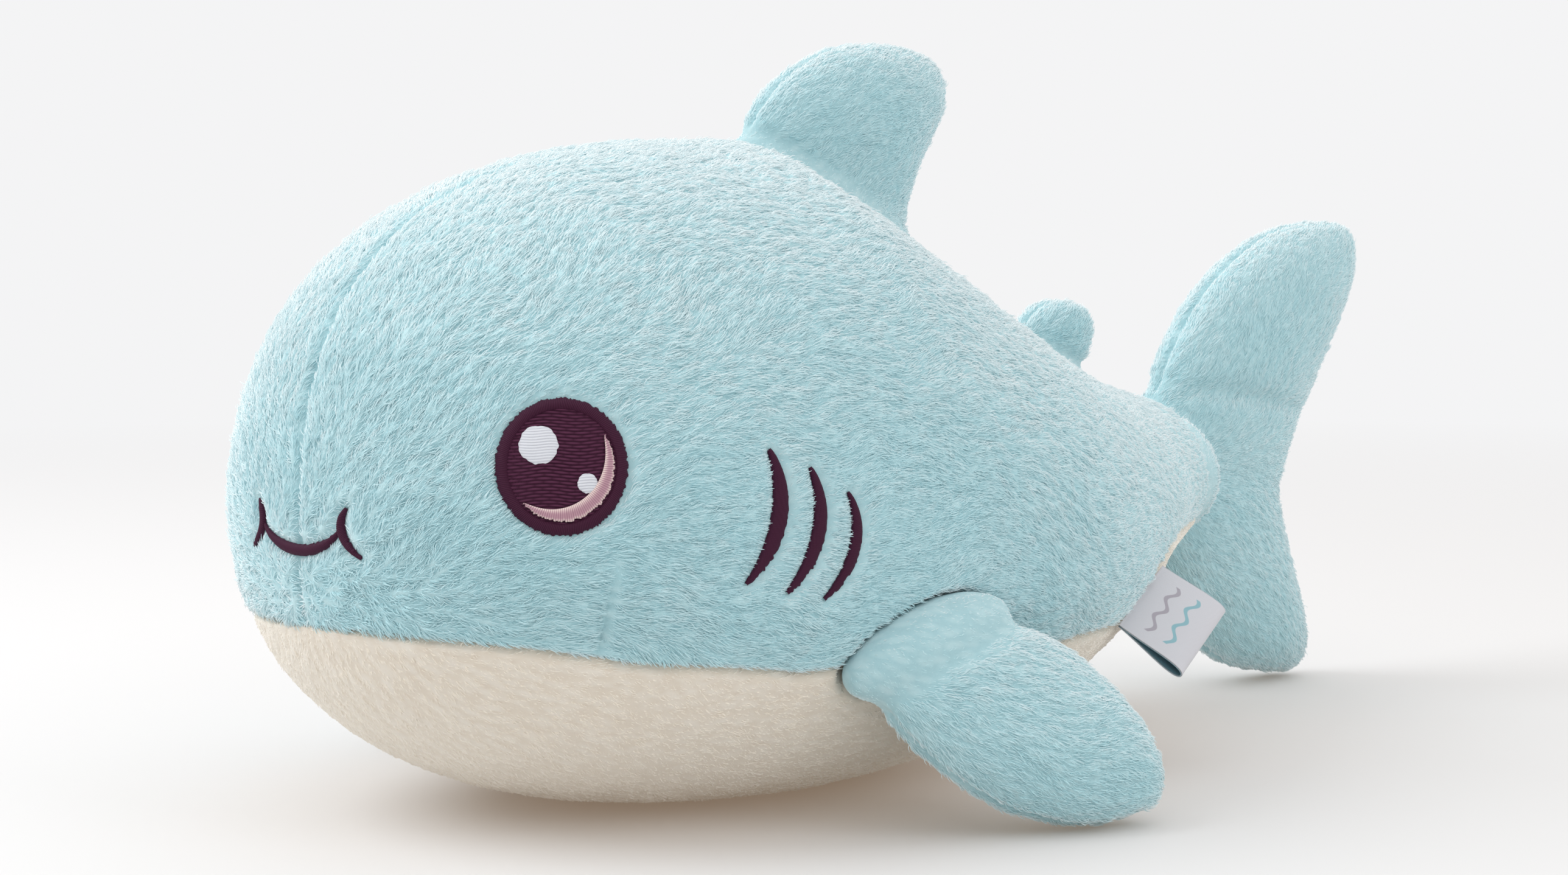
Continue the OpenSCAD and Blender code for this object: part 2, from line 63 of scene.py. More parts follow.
# ---- Colours, linear ----
BLUE = (0.53, 0.765, 0.81)
# Painted shade: the darker colour for the pile's roots and the gaps between its tufts.
BLUE_SHADE = (0.42, 0.675, 0.73)
# Paler colour for random tufts, also painted highlight on the pile's rim and on its upward-facing top.
BLUE_PALE_AND_HIGHLIGHT = (0.86, 0.885, 0.895)
CREAM = (0.89, 0.83, 0.735)
# Painted shade: the darker colour for the belly pile's roots and the gaps between its tufts.
CREAM_SHADE = (0.83, 0.745, 0.63)
# Paler colour for random belly tufts, also painted highlight on the pile's rim and on its upward-facing top.
CREAM_PALE_AND_HIGHLIGHT = (0.95, 0.93, 0.88)
PLUM = (0.050, 0.010, 0.030)
GLINT = (0.60, 0.62, 0.68)
# Painted highlight on the crests of the glints' thread rows.
GLINT_HIGHLIGHT = (0.80, 0.82, 0.86)
MAUVE = (0.47, 0.27, 0.33)
# Painted highlight on the crests of the crescent's thread rows; also the paler colour towards its stitch
# ends.
MAUVE_PALE_AND_HIGHLIGHT = (0.80, 0.68, 0.62)


# ---- Vectors ----
def vec(*p):
    return np.array(p, float)


def unit(v):
    v = np.asarray(v, float)
    return v / np.maximum(1e-12, np.linalg.norm(v, axis=-1, keepdims=True))


def dot(a, b):
    return (np.asarray(a) * np.asarray(b)).sum(-1)


def mix(a, b, t):
    return a + (b - a) * t


def ease(t):
    t = np.clip(t, 0, 1)
    return t * t * (3 - 2 * t)


def bezier(p, t):
    p, t = np.asarray(p, float), np.asarray(t, float)[..., None]
    u = 1 - t
    return u**3 * p[0] + 3 * u * u * t * p[1] + 3 * u * t * t * p[2] + t**3 * p[3]


def to_frame(p):
    return (np.asarray(p) - [0, CENTRE_Y, 0]) * MM


# ---- The body's shape ----
def quarter(s, p):
    return np.maximum(0, 1 - s**p) ** (1 / p)


def section(y):
    """Half width, top, bottom and waist height of the skin at stations y."""
    s = np.clip(-y / NOSE_LEN, 0, 1)
    r = np.clip(y / REAR_CURVE, 0, 1)
    mf = mix(WAIST_Z, NOSE_Z, s * s)
    mr = mix(WAIST_Z, (END_TOP + END_BOTTOM) / 2, ease(r**1.2))
    front = (
        BODY_HW * quarter(s, 2.3),
        mf + (BODY_H - WAIST_Z) * quarter(s, 2.15),
        mf - (WAIST_Z + BELLY_PRESS) * quarter(s, 3.4),
        mf,
    )
    rear = (
        mix(BODY_HW, END_HW, ease(r**1.38)),
        mix(BODY_H, END_TOP, ease(r**0.64)),
        mix(-BELLY_PRESS, END_BOTTOM, ease(r**1.2)),
        mr,
    )
    return [np.where(y < 0, f, b) for f, b in zip(front, rear)]


def skin_point(y, a):
    w, top, bottom, m = section(y)
    sa = np.sin(a)
    z = m + np.where(sa > 0, top - m, m - bottom) * sa
    return np.stack([w * np.cos(a), y + 0 * a, np.maximum(0, z)], -1)


def seam_angle(y):
    w, top, bottom, m = section(y)
    z = np.where(
        y < 0,
        mix(SIDE_SEAM_Z, NOSE_SEAM_Z, np.clip(-y / NOSE_LEN, 0, 1) ** 2),
        mix(SIDE_SEAM_Z, TAIL_SEAM_Z, ease((y - SEAM_RISE[0]) / (SEAM_RISE[1] - SEAM_RISE[0]))),
    )
    z = z + 0.7 * np.sin(y / 9.0 + 1.0) * np.sin(y / 23.0)
    low = -np.arcsin(np.clip((m - z) / np.maximum(1, m - bottom), 0, 1))
    high = np.arcsin(np.clip((z - m) / np.maximum(1, top - m), 0, 1))
    return np.where(z < m, low, high)


def depth(p):
    """Below 1 inside the body's skin."""
    w, top, bottom, m = section(p[..., 1])
    h = np.where(p[..., 2] > m, top - m, m - bottom)
    d = (p[..., 0] / np.maximum(w, 0.01)) ** 2 + ((p[..., 2] - m) / np.maximum(h, 0.01)) ** 2
    return np.where((p[..., 1] < -NOSE_LEN) | (w < 0.01), 2.0, d)


def drop(p, n):
    """Points moved along n on to the skin."""
    a, b = p + 30 * n, p - 30 * n
    for _ in range(18):
        m = (a + b) / 2
        inside = (depth(m) < 1)[..., None]
        a, b = np.where(inside, a, m), np.where(inside, m, b)
    return (a + b) / 2


# ---- Noise ----
def hashed(i, seed):
    i = i.astype(np.int64)
    h = (i[..., 0] * 73856093) ^ (i[..., 1] * 19349663) ^ (i[..., 2] * 83492791) ^ (seed * 961748927)
    h = ((h ^ (h >> 15)) * 668265263) & 0xFFFFFFFF
    h = ((h ^ (h >> 13)) * 374761393) & 0xFFFFFFFF
    return ((h ^ (h >> 16)) & 0xFFFF) / 65535.0


def noise(p, size, seed=0):
    """Smooth noise from -1 to 1, with cells of the given size."""
    q = np.asarray(p) / size + 37.3
    i = np.floor(q)
    f = ease(q - i)
    total = 0
    for corner in np.ndindex(2, 2, 2):
        w = np.prod(np.where(np.array(corner) == 1, f, 1 - f), -1)
        total = total + w * hashed(i + corner, seed)
    return 2 * total - 1


TUFT_CELL = 3.0


def tufts(p, n, t, long=2.9, wide=1.15, seed=3):
    """How high the pile's tufts stand at p (about 0 to 1), each tuft's own random value and its middle.

    Tufts are scattered through space and lie along the nap t on the surface whose normal is n."""
    b = np.cross(n, t)
    q = p / TUFT_CELL + 51.7
    cell = np.floor(q)
    best = np.full(p.shape[:-1], -9.0)
    own = np.zeros(p.shape[:-1])
    middle = np.array(p)
    for near in np.ndindex(3, 3, 3):
        c = cell + near - 1
        r = [hashed(c, seed + k) for k in range(4)]
        at = c + np.stack(r[:3], -1)
        d = (q - at) * TUFT_CELL
        h = 0.8 * r[3] - (dot(d, t) / long) ** 2 - (dot(d, b) / wide) ** 2 - (dot(d, n) / 2.2) ** 2
        up = h > best
        best = np.where(up, h, best)
        own = np.where(up, r[3], own)
        middle = np.where(up[..., None], (at - 51.7) * TUFT_CELL, middle)
    return np.clip(best + 0.35, -0.6, 1.2), own, middle


def turned(t, n, angle):
    """The tangent t turned round n."""
    c, s = np.cos(angle)[..., None], np.sin(angle)[..., None]
    return c * t + s * np.cross(n, t)


def tangent(v, n):
    v = np.asarray(v, float) - dot(v, n)[..., None] * n
    return unit(v + 1e-9)


def swirl(p):
    return 0.5 * noise(p, 26, 11) + 0.45 * noise(p, 8, 12)


def body_nap(p, n):
    """The pile lies back and up over the head, and straight back along the flanks."""
    head = ease((-p[..., 1] - 10) / 70) * ease((p[..., 2] - 30) / 60)
    v = np.stack([0 * head, 1 - 0.1 * head, -0.08 + 0.42 * head], -1)
    return turned(tangent(v, n), n, swirl(p))


# ---- Fins: [origin, along the hinge, out, across], edges, half thickness, root ----
DORSAL_AXIS = unit(vec(0, 76, -41))
SECOND_AXIS = unit(vec(0, 36, -11))
FLAP_AXIS = unit(vec(0.18, 0.94, 0.29))
FLAP_LEVEL = unit(vec(1, 0, 0) - FLAP_AXIS[0] * FLAP_AXIS)
FLAP_DOWN = np.cross(FLAP_AXIS, FLAP_LEVEL)
DROOP = math.radians(66)
FLAP_OUT = math.cos(DROOP) * FLAP_LEVEL + math.sin(DROOP) * FLAP_DOWN
X = vec(1, 0, 0)


def fin(origin, along, out, across, front, back, t, half_len, r):
    return dict(
        o=vec(*origin), axes=np.array([along, out, across]), front=front, back=back, t=t,
        half_len=half_len, r=r,
    )


DORSAL = fin((0, 42, 146), DORSAL_AXIS, np.cross(X, DORSAL_AXIS), X,
             [(-38, 0), (-38, 24), (-22, 50), (12, 57)], [(34, 0), (8, 24), (36, 55), (12, 57)],
             13, 40, 13.5)
SECOND = fin((0, 133, 104), SECOND_AXIS, np.cross(X, SECOND_AXIS), X,
             [(-15, 0), (-13, 15), (-2, 21), (7, 20)], [(16, 0), (13, 8), (19, 18), (7, 20)],
             7.5, 17.5, 8)
LEFT_PECTORAL = fin((89.8, -16, 44.5), FLAP_AXIS, FLAP_OUT, np.cross(FLAP_AXIS, FLAP_OUT),
                    [(-20, 0), (-17, 24), (4, 57), (38, 57)], [(19, 0), (32, 14), (54, 50), (38, 57)],
                    12, 25, 10.5)
RIGHT_PECTORAL = dict(LEFT_PECTORAL, o=LEFT_PECTORAL["o"] * [-1, 1, 1],
                      axes=LEFT_PECTORAL["axes"] * [-1, 1, 1])
UPRIGHT = dict(o=vec(0, 0, 0), axes=np.array([(0, 1, 0), (0, 0, 1), (1, 0, 0)], float), t=14)
UPPER_LOBE = dict(UPRIGHT, front=[(178, 72), (188, 112), (227, 152), (284, 146)],
                  back=[(246, 52), (252, 92), (306, 134), (284, 146)])
LOWER_LOBE = dict(UPRIGHT, front=[(178, 72), (184, 24), (216, 3), (257, 2)],
                  back=[(248, 74), (242, 38), (276, 12), (257, 2)])
TAIL_W, TAIL_TOP, TAIL_BOTTOM, _ = (float(v[0]) for v in section(vec(TAIL_SEAM)))
TAIL_MID = (TAIL_TOP + TAIL_BOTTOM) / 2
TAIL_RX = TAIL_W - FLEECE - CLEARANCE - 0.3
TAIL_RZ = (TAIL_TOP - TAIL_BOTTOM) / 2 - FLEECE - CLEARANCE - 0.3


def place(f, q):
    return f["o"] + np.asarray(q) @ f["axes"]


def blade_rings(f, rows=36, ring=40):
    v = np.sin(np.linspace(0, math.pi / 2, rows))[:, None]
    g = np.linspace(0, 2 * math.pi, ring, endpoint=False)[None, :]
    a, b = bezier(f["front"], v[:, 0]), bezier(f["back"], v[:, 0])
    c, h = (a + b) / 2, (a - b) / 2
    w = np.maximum(0.25, f["t"] * (0.66 + 0.34 * np.sin(math.pi * v)) * np.sqrt(np.maximum(0, 1 - v**4)))
    q = np.stack([c[:, None, 0] + np.cos(g) * h[:, None, 0],
                  c[:, None, 1] + np.cos(g) * h[:, None, 1], -w * np.sin(g)], -1)
    return place(f, q)


def ball(centre, axes, radii, rows=28, ring=48):
    a = np.linspace(0, math.pi, rows)[:, None]
    g = np.linspace(0, 2 * math.pi, ring, endpoint=False)[None, :]
    q = np.stack([np.cos(a) + 0 * g, np.sin(a) * np.cos(g), np.sin(a) * np.sin(g)], -1) * radii
    return centre + q @ axes


# ---- Meshes ----
def ring_faces(rows, ring, first):
    i, j = np.meshgrid(np.arange(rows - 1), np.arange(ring), indexing="ij")
    k = (j + 1) % ring
    quads = np.stack([i * ring + j, i * ring + k, (i + 1) * ring + k, (i + 1) * ring + j], -1)
    return (quads.reshape(-1, 4) + first).tolist() + [
        list(range(first, first + ring)),
        list(range(first + (rows - 1) * ring, first + rows * ring)),
    ]


def grid_faces(rows, cols):
    i, j = np.meshgrid(np.arange(rows - 1), np.arange(cols - 1), indexing="ij")
    a = i * cols + j
    return np.stack([a, a + 1, a + cols + 1, a + cols], -1).reshape(-1, 4)


def mesh_of(name, points, faces):
    me = bpy.data.meshes.new(name)
    me.from_pydata(points.tolist(), [], faces if isinstance(faces, list) else faces.tolist())
    me.update()
    return me


def grid_mesh(name, p, flip=False):
    """A grid of quads in metres, made quickly."""
    rows, cols = p.shape[:2]
    f = grid_faces(rows, cols)
    if flip:
        f = f[:, ::-1]
    me = bpy.data.meshes.new(name)
    me.vertices.add(rows * cols)
    me.vertices.foreach_set("co", p.reshape(-1).astype(np.float32))
    me.loops.add(f.size)
    me.loops.foreach_set("vertex_index", f.reshape(-1).astype(np.int32))
    me.polygons.add(len(f))
    me.polygons.foreach_set("loop_start", np.arange(0, f.size, 4, dtype=np.int32))
    me.update(calc_edges=True)
    return me


def add_object(name, me, material, smooth=True):
    ob = bpy.data.objects.new(name, me)
    bpy.context.scene.collection.objects.link(ob)
    me.materials.append(material)
    me.polygons.foreach_set("use_smooth", np.full(len(me.polygons), smooth))
    return ob


def applied(ob):
    """The object's mesh with its modifiers applied."""
    dg = bpy.context.evaluated_depsgraph_get()
    me = bpy.data.meshes.new_from_object(ob.evaluated_get(dg))
    ob.modifiers.clear()
    old = ob.data
    ob.data = me
    bpy.data.meshes.remove(old)
    return me


def get_points(me):
    co = np.empty(len(me.vertices) * 3, np.float32)
    me.vertices.foreach_get("co", co)
    nr = np.empty(len(me.vertices) * 3, np.float32)
    me.vertices.foreach_get("normal", nr)
    return co.reshape(-1, 3).astype(float) / MM + [0, CENTRE_Y, 0], nr.reshape(-1, 3).astype(float)


def set_points(me, p):
    me.vertices.foreach_set("co", to_frame(p).reshape(-1).astype(np.float32))
    me.update()


def mark(me, name, values, domain="POINT"):
    a = me.attributes.new(name, "FLOAT", domain)
    a.data.foreach_set("value", np.asarray(values, np.float32).reshape(-1))


# ---- Materials ----
def new_material(name):
    m = bpy.data.materials.new(name)
    m.use_nodes = True
    nt = m.node_tree
    nt.nodes.clear()
    out = nt.nodes.new("ShaderNodeOutputMaterial")
    bsdf = nt.nodes.new("ShaderNodeBsdfPrincipled")
    nt.links.new(bsdf.outputs[0], out.inputs[0])
    return m, nt, bsdf


def node(nt, kind, **values):
    n = nt.nodes.new(kind)
    for k, v in values.items():
        if hasattr(n, k):
            setattr(n, k, v)
        else:
            n.inputs[k].default_value = v
    return n


def blend_colours(nt, a, b, factor):
    m = node(nt, "ShaderNodeMix", data_type="RGBA")
    nt.links.new(factor, m.inputs["Factor"])
    for socket, c in ((m.inputs["A"], a), (m.inputs["B"], b)):
        if isinstance(c, tuple):
            socket.default_value = (*c, 1)
        else:
            nt.links.new(c, socket)
    return m.outputs["Result"]


def remap(nt, value, lo, hi, to_lo=0.0, to_hi=1.0):
    m = node(nt, "ShaderNodeMapRange")
    nt.links.new(value, m.inputs["Value"])
    for k, v in (("From Min", lo), ("From Max", hi), ("To Min", to_lo), ("To Max", to_hi)):
        m.inputs[k].default_value = v
    return m.outputs["Result"]


def bump(nt, bsdf, height, strength, distance):
    b = node(nt, "ShaderNodeBump")
    b.inputs["Strength"].default_value = strength
    b.inputs["Distance"].default_value = distance
    nt.links.new(height, b.inputs["Height"])
    nt.links.new(b.outputs[0], bsdf.inputs["Normal"])


def fleece_material(name, colour, root, pile_scale):
    """The skin under the pile: tufts lighter than the gaps between them, which is painted shade, with a
    painted pale rim where the skin turns from view and fine fibre bump.
    """
    m, nt, bsdf = new_material(name)
    pile = node(nt, "ShaderNodeAttribute", attribute_name="pile")
    # Painted shade: darker in the gaps between tufts, lighter on the tall tufts.
    shade = remap(nt, pile.outputs["Fac"], -0.2, 0.9)
    base = blend_colours(nt, root, colour, shade)
    big = node(nt, "ShaderNodeTexNoise")
    big.inputs["Scale"].default_value = 45
    big.inputs["Detail"].default_value = 3
    tone = remap(nt, big.outputs["Fac"], 0.3, 0.7, 0.0, 0.18)
    pale = tuple(min(1, c * 1.15) for c in colour)
    base = blend_colours(nt, base, pale, tone)
    # Painted highlight: paler where the skin turns from view.
    rim = node(nt, "ShaderNodeLayerWeight")
    rim.inputs["Blend"].default_value = 0.5
    base = blend_colours(nt, base, pale, remap(nt, rim.outputs["Facing"], 0.35, 1.0, 0.0, 0.6))
    nt.links.new(base, bsdf.inputs["Base Color"])
    bsdf.inputs["Roughness"].default_value = 0.95
    bsdf.inputs["Specular IOR Level"].default_value = 0.15
    bsdf.inputs["Sheen Weight"].default_value = 0.35
    bsdf.inputs["Sheen Roughness"].default_value = 0.5
    fine = node(nt, "ShaderNodeTexNoise")
    fine.inputs["Scale"].default_value = pile_scale
    fine.inputs["Detail"].default_value = 4
    bump(nt, bsdf, fine.outputs["Fac"], 0.5, 0.0006)
    return m


def pile_material(name, colour, root, pale):
    """Fibres: painted shade towards their roots, each tuft a little different, a painted pale rim where the
    skin turns away and painted light where the skin faces up.
    """
    m, nt, bsdf = new_material(name)
    info = node(nt, "ShaderNodeHairInfo")
    tone = node(nt, "ShaderNodeAttribute", attribute_name="tone")
    skin = node(nt, "ShaderNodeAttribute", attribute_name="skin_normal")
    rim = node(nt, "ShaderNodeLayerWeight")
    rim.inputs["Blend"].default_value = 0.5
    nt.links.new(skin.outputs["Vector"], rim.inputs["Normal"])
    # Painted shade towards the fibre roots.
    along = remap(nt, info.outputs["Intercept"], 0.0, 0.7)
    fibre = blend_colours(nt, root, colour, along)
    tuft = blend_colours(nt, fibre, pale, remap(nt, tone.outputs["Fac"], 0.1, 1.0, 0.0, 0.42))
    # Painted highlight: paler where the skin turns away from view.
    edge = blend_colours(nt, tuft, pale, remap(nt, rim.outputs["Facing"], 0.35, 1.0, 0.0, 0.7))
    # Painted light: paler where the skin faces up.
    split = node(nt, "ShaderNodeSeparateXYZ")
    nt.links.new(skin.outputs["Vector"], split.inputs[0])
    edge = blend_colours(nt, edge, pale, remap(nt, split.outputs["Z"], 0.1, 0.9, 0.0, 0.5))
    nt.links.new(edge, bsdf.inputs["Base Color"])
    bsdf.inputs["Roughness"].default_value = 0.9
    bsdf.inputs["Specular IOR Level"].default_value = 0.05
    bsdf.inputs["Sheen Weight"].default_value = 0.25
    return m


def thread_material(name, colour, roughness=0.42, gloss=0.45, pale=None):
    """Satin embroidery thread: the rows come from the mesh, with painted shade between them and a painted
    highlight on their crests; fine ply twist from the bump.
    """
    m, nt, bsdf = new_material(name)
    row = node(nt, "ShaderNodeAttribute", attribute_name="stitch")
    # Painted shade between thread rows and painted highlight on their crests, from the stitch attribute.
    dark = tuple(c * 0.35 for c in colour)
    light = pale or tuple(min(1, c * 1.9 + 0.01) for c in colour)
    base = blend_colours(nt, dark, colour, remap(nt, row.outputs["Fac"], 0.0, 0.5))
    base = blend_colours(nt, base, light, remap(nt, row.outputs["Fac"], 0.55, 1.0, 0.0, 1.0))
    nt.links.new(base, bsdf.inputs["Base Color"])
    bsdf.inputs["Roughness"].default_value = roughness
    bsdf.inputs["Specular IOR Level"].default_value = gloss
    twist = node(nt, "ShaderNodeTexNoise")
    twist.inputs["Scale"].default_value = 2600
    bump(nt, bsdf, twist.outputs["Fac"], 0.35, 0.0002)
    return m


BLUE_FLEECE = fleece_material("blue_fleece", BLUE, BLUE_SHADE, 1500)
CREAM_FLEECE = fleece_material("cream_fleece", CREAM, CREAM_SHADE, 1900)
BLUE_PILE = pile_material("blue_pile", BLUE, BLUE_SHADE, BLUE_PALE_AND_HIGHLIGHT)
CREAM_PILE = pile_material("cream_pile", CREAM, CREAM_SHADE, CREAM_PALE_AND_HIGHLIGHT)
PLUM_THREAD = thread_material("plum_thread", PLUM, 0.55, 0.12)
GLINT_THREAD = thread_material("glint_thread", GLINT, 0.55, 0.2, GLINT_HIGHLIGHT)
MAUVE_THREAD = thread_material("mauve_thread", MAUVE, 0.5, 0.2, MAUVE_PALE_AND_HIGHLIGHT)


# ---- Fur ----
def fur(name, me, body, length, material, seed, nap, bare=None, short=None):
    """Fibres on a skin mesh: rooted at random, lying along the nap and drawn into tufts."""
    rng = np.random.default_rng(seed)
    me.calc_loop_triangles()
    tri = np.empty(len(me.loop_triangles) * 3, np.int32)
    me.loop_triangles.foreach_get("vertices", tri)
    tri = tri.reshape(-1, 3)
    p, n = get_points(me)
    a, b, c = p[tri[:, 0]], p[tri[:, 1]], p[tri[:, 2]]
    area = np.linalg.norm(np.cross(b - a, c - a), axis=1) / 2
    count = int(area.sum() * FIBRES_PER_MM2 * (1))
    pick = np.searchsorted(np.cumsum(area), rng.random(count) * area.sum())
    pick = np.minimum(pick, len(tri) - 1)
    r1, r2 = np.sqrt(rng.random((count, 1))), rng.random((count, 1))
    w = (1 - r1, r1 * (1 - r2), r1 * r2)
    at = sum(k * p[tri[pick, i]] for i, k in enumerate(w))
    up = unit(sum(k * n[tri[pick, i]] for i, k in enumerate(w)))
    if bare is not None:
        keep = ~bare(at, up)
        at, up = at[keep], up[keep]
    count = len(at)
    t = nap(at, up)
    _, own, middle = tufts(at, up, t)
    size = length * (0.8 + 0.4 * rng.random(count)) * (0.9 + 0.2 * own)
    if short is not None:
        size = size * short(at)
    pull = middle - at
    pull = pull - dot(pull, up)[:, None] * up
    pull = pull - 0.8 * dot(pull, t)[:, None] * t
    pull = pull * np.minimum(1, 1.1 / np.maximum(0.01, np.linalg.norm(pull, axis=1)))[:, None]
    stray = rng.normal(0, 0.16, (count, 3))
    steps = len(FIBRE_RADII)
    pts = np.empty((count, steps, 3))
    for k in range(steps):
        s = k / (steps - 1)
        lean = 0.55 + 0.37 * s
        step = size[:, None] * s * unit(mix(up, t, lean) + stray)
        pts[:, k] = at - 0.25 * up + step + pull * (0.42 * s * s)
    pts[..., 2] = np.maximum(pts[..., 2], 0.25)
    hair = bpy.data.hair_curves.new(name)
    hair.add_curves([steps] * count)
    hair.attributes["position"].data.foreach_set("vector", to_frame(pts).reshape(-1).astype(np.float32))
    thick = np.array(FIBRE_RADII) * MM
    radius = hair.attributes.get("radius") or hair.attributes.new("radius", "FLOAT", "POINT")
    radius.data.foreach_set("value", np.tile(thick, count).astype(np.float32))
    tone = 0.22 * own + 0.2 * rng.random(count) + 0.25 * noise(at, 16, 21)
    tone = np.clip(tone + 0.45 * np.exp(-((embroidered(at) / 2.5) ** 2)), 0, 1)
    mark(hair, "tone", tone, "CURVE")
    skin_normal = hair.attributes.new("skin_normal", "FLOAT_VECTOR", "CURVE")
    skin_normal.data.foreach_set("vector", up.reshape(-1).astype(np.float32))
    hair.materials.append(material)
    ob = bpy.data.objects.new(name, hair)
    bpy.context.scene.collection.objects.link(ob)
    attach(ob, body)
    return ob


# ---- The body's skin ----
DART = (vec(62.0, -95.5, 46.0), vec(68.0, -95.0, 68.0))
FINS = [("dorsal", DORSAL), ("second", SECOND), ("left", LEFT_PECTORAL), ("right", RIGHT_PECTORAL)]


def fin_coords(f, p):
    return (p - f["o"]) @ f["axes"].T


def root_distance(p):
    """How far p is outside the nearest fin root, in root sizes past 1."""
    far = np.full(p.shape[:-1], 9.0)
    for _, f in FINS:
        q = fin_coords(f, p) / [f["half_len"], f["r"], f["r"]]
        far = np.minimum(far, np.linalg.norm(q, axis=-1) - 1)
    return far


def socketed(p, gap=1.0):
    """The skin pushed in to make each fin's socket."""
    for _, f in FINS:
        size = vec(f["half_len"], f["r"], f["r"]) + gap
        q = fin_coords(f, p)
        rest = 1 - (q[..., 0] / size[0]) ** 2 - (q[..., 2] / size[2]) ** 2
        floor = -size[1] * np.sqrt(np.maximum(0, rest))
        inside = (rest > 0) & (q[..., 1] > floor) & (np.abs(q[..., 1]) < size[1])
        q[..., 1] = np.where(inside, floor, q[..., 1])
        p = np.where(inside[..., None], place(f, q), p)
    return p


def segment_distance(p, a, b):
    ab = b - a
    u = np.clip(dot(p - a, ab) / dot(ab, ab), 0, 1)
    return np.linalg.norm(p - a - u[..., None] * ab, axis=-1), u


def grid_normals(p):
    du, dv = np.gradient(p, axis=0), np.gradient(p, axis=1)
    n = np.cross(du, dv)
    length = np.linalg.norm(n, axis=-1, keepdims=True)
    return np.where(length > 1e-9, n / np.maximum(length, 1e-9), vec(0, -1, 0))


FRONT_ROWS, REAR_ROWS = 210, 210
SIDE_COLS, BELLY_COLS = 210, 150


def stations():
    front = -NOSE_LEN * np.cos(np.linspace(0, math.pi / 2, FRONT_ROWS, endpoint=False))
    return np.concatenate([front, np.linspace(0, TAIL_SEAM, REAR_ROWS)])


def relief(p, n, nap, edge, height, tuft_h):
    """The pile's outer shape over a bare surface; edge fades it towards seams."""
    t = nap(p, n)
    tall, _, _ = tufts(p, n, t)
    soft = 0.5 * noise(p, 32, 5) + 0.25 * noise(p, 12, 6)
    return height * edge + (tuft_h * tall + soft) * edge, tall


def side_skin(side):
    y = stations()[:, None]
    lo = seam_angle(y)
    u = np.linspace(0, 1, SIDE_COLS)[None, :]
    a = mix(lo, math.pi / 2, u)
    p = skin_point(y + 0 * a, a)
    p[..., 0] *= side
    n = grid_normals(p) * side
    n = n * np.sign(dot(n, p - vec(0, 30, 60)))[..., None]
    top_d = np.abs(p[..., 0])
    # At the tip of the nose the panel has no lower seam
    low_d = np.where(lo < -1.5, FAR, np.linalg.norm(p - p[:, :1], axis=-1))
    end_d = TAIL_SEAM - p[..., 1]
    wide = ease(np.minimum(low_d / 2.6, end_d / 2.6)) * (1 - 0.75 * np.exp(-((top_d / 1.5) ** 2)))
    roots = ease(root_distance(p) / 0.22 + 0.15)
    stitched = ease(embroidered(p) / 2.5)
    h, tall = relief(p, n, body_nap, wide * roots * stitched, 0.8, 0.45)
    dart, along = segment_distance(p * [side, 1, 1], *DART)
    crease = 2.0 * np.exp(-((dart / 1.3) ** 2)) * (1 - along**2)
    crease = crease + 1.1 * np.exp(-((dart / 7.0) ** 2)) * (1 - along)
    h = h - crease * ease(low_d / 6)
    stitches = 0.75 + 0.25 * np.cos(p[..., 1] * 1.3)
    h = h - 0.95 * stitches * np.exp(-((top_d / 1.1) ** 2)) * (p[..., 2] > 60)
    h = h - 1.6 * (1 - ease(np.minimum(low_d / 1.6, end_d / 1.6)))
    p = socketed(p + h[..., None] * n)
    return p, tall, n


def belly_skin():
    y = stations()[:, None]
    lo = seam_angle(y)
    u = np.linspace(0, 1, BELLY_COLS)[None, :]
    a = mix(-math.pi - lo, lo, u)
    p = skin_point(y + 0 * a, a)
    n = grid_normals(p)
    n = n * np.sign(dot(n, p - vec(0, 30, 60)))[..., None]
    seam_d = np.minimum(np.linalg.norm(p - p[:, :1], axis=-1), np.linalg.norm(p - p[:, -1:], axis=-1))
    end_d = TAIL_SEAM - p[..., 1]
    edge = ease(np.minimum(seam_d / 2.4, end_d / 2.4)) * ease(root_distance(p) / 0.22 + 0.15)
    edge = edge * ease((p[..., 2] - 0.2) / 3)
    h, tall = relief(p, n, belly_nap, edge, 0.6, 0.2)
    h = h - 1.6 * (1 - ease(np.minimum(seam_d / 1.6, end_d / 1.6)))
    p = socketed(p + h[..., None] * n)
    p[..., 2] = np.maximum(p[..., 2], 0)
    return p, tall, n


def belly_nap(p, n):
    v = np.stack([0 * p[..., 0], 1 + 0 * p[..., 0], 0 * p[..., 0]], -1)
    return turned(tangent(v, n), n, 0.6 * swirl(p))


# ---- Patches of embroidery ----
def patch(origin, n):
    w = unit(n)
    e1 = unit(vec(-w[1], w[0], 0))
    return vec(*origin), e1, np.cross(w, e1), w


EYE = patch((59.6, -103, 90.2), (0.77, -0.61, 0.19))
MOUTH = patch((0, -130.5, 73), (0, -1, 0))
GILL = patch((84, -52, 77), (0.95, -0.3, 0.1))
SMILE = [(-14.4, 1.4), (-8.5, -5.4), (8.5, -5.4), (14.4, 1.4)]
CHEEK = [(17, 7), (14, 3.5), (14.2, -0.5), (21, -4.5)]
SMILE_W, CHEEK_W = 2.6, 2.2
GILL_CURVES = []
for s0, t0, g_len, g_w in ((-7.5, 16, 15.2, 4.2), (3, 11.5, 14.2, 3.7), (13, 5.5, 12.2, 3.1)):
    GILL_CURVES.append(([(s0, t0), (s0 + 4, t0 - 0.6 * g_len), (s0 + 2, t0 - 1.4 * g_len),
                         (s0 - 8, t0 - 2 * g_len)], g_w))


def on_patch(f, s, t, h):
    p = f[0] + s[..., None] * f[1] + t[..., None] * f[2]
    return drop(p, f[3]) + np.asarray(h)[..., None] * f[3]


def patch_coords(f, p, side=1):
    d = p * [side, 1, 1] - f[0]
    return dot(d, f[1]), dot(d, f[2]), dot(d, f[3])


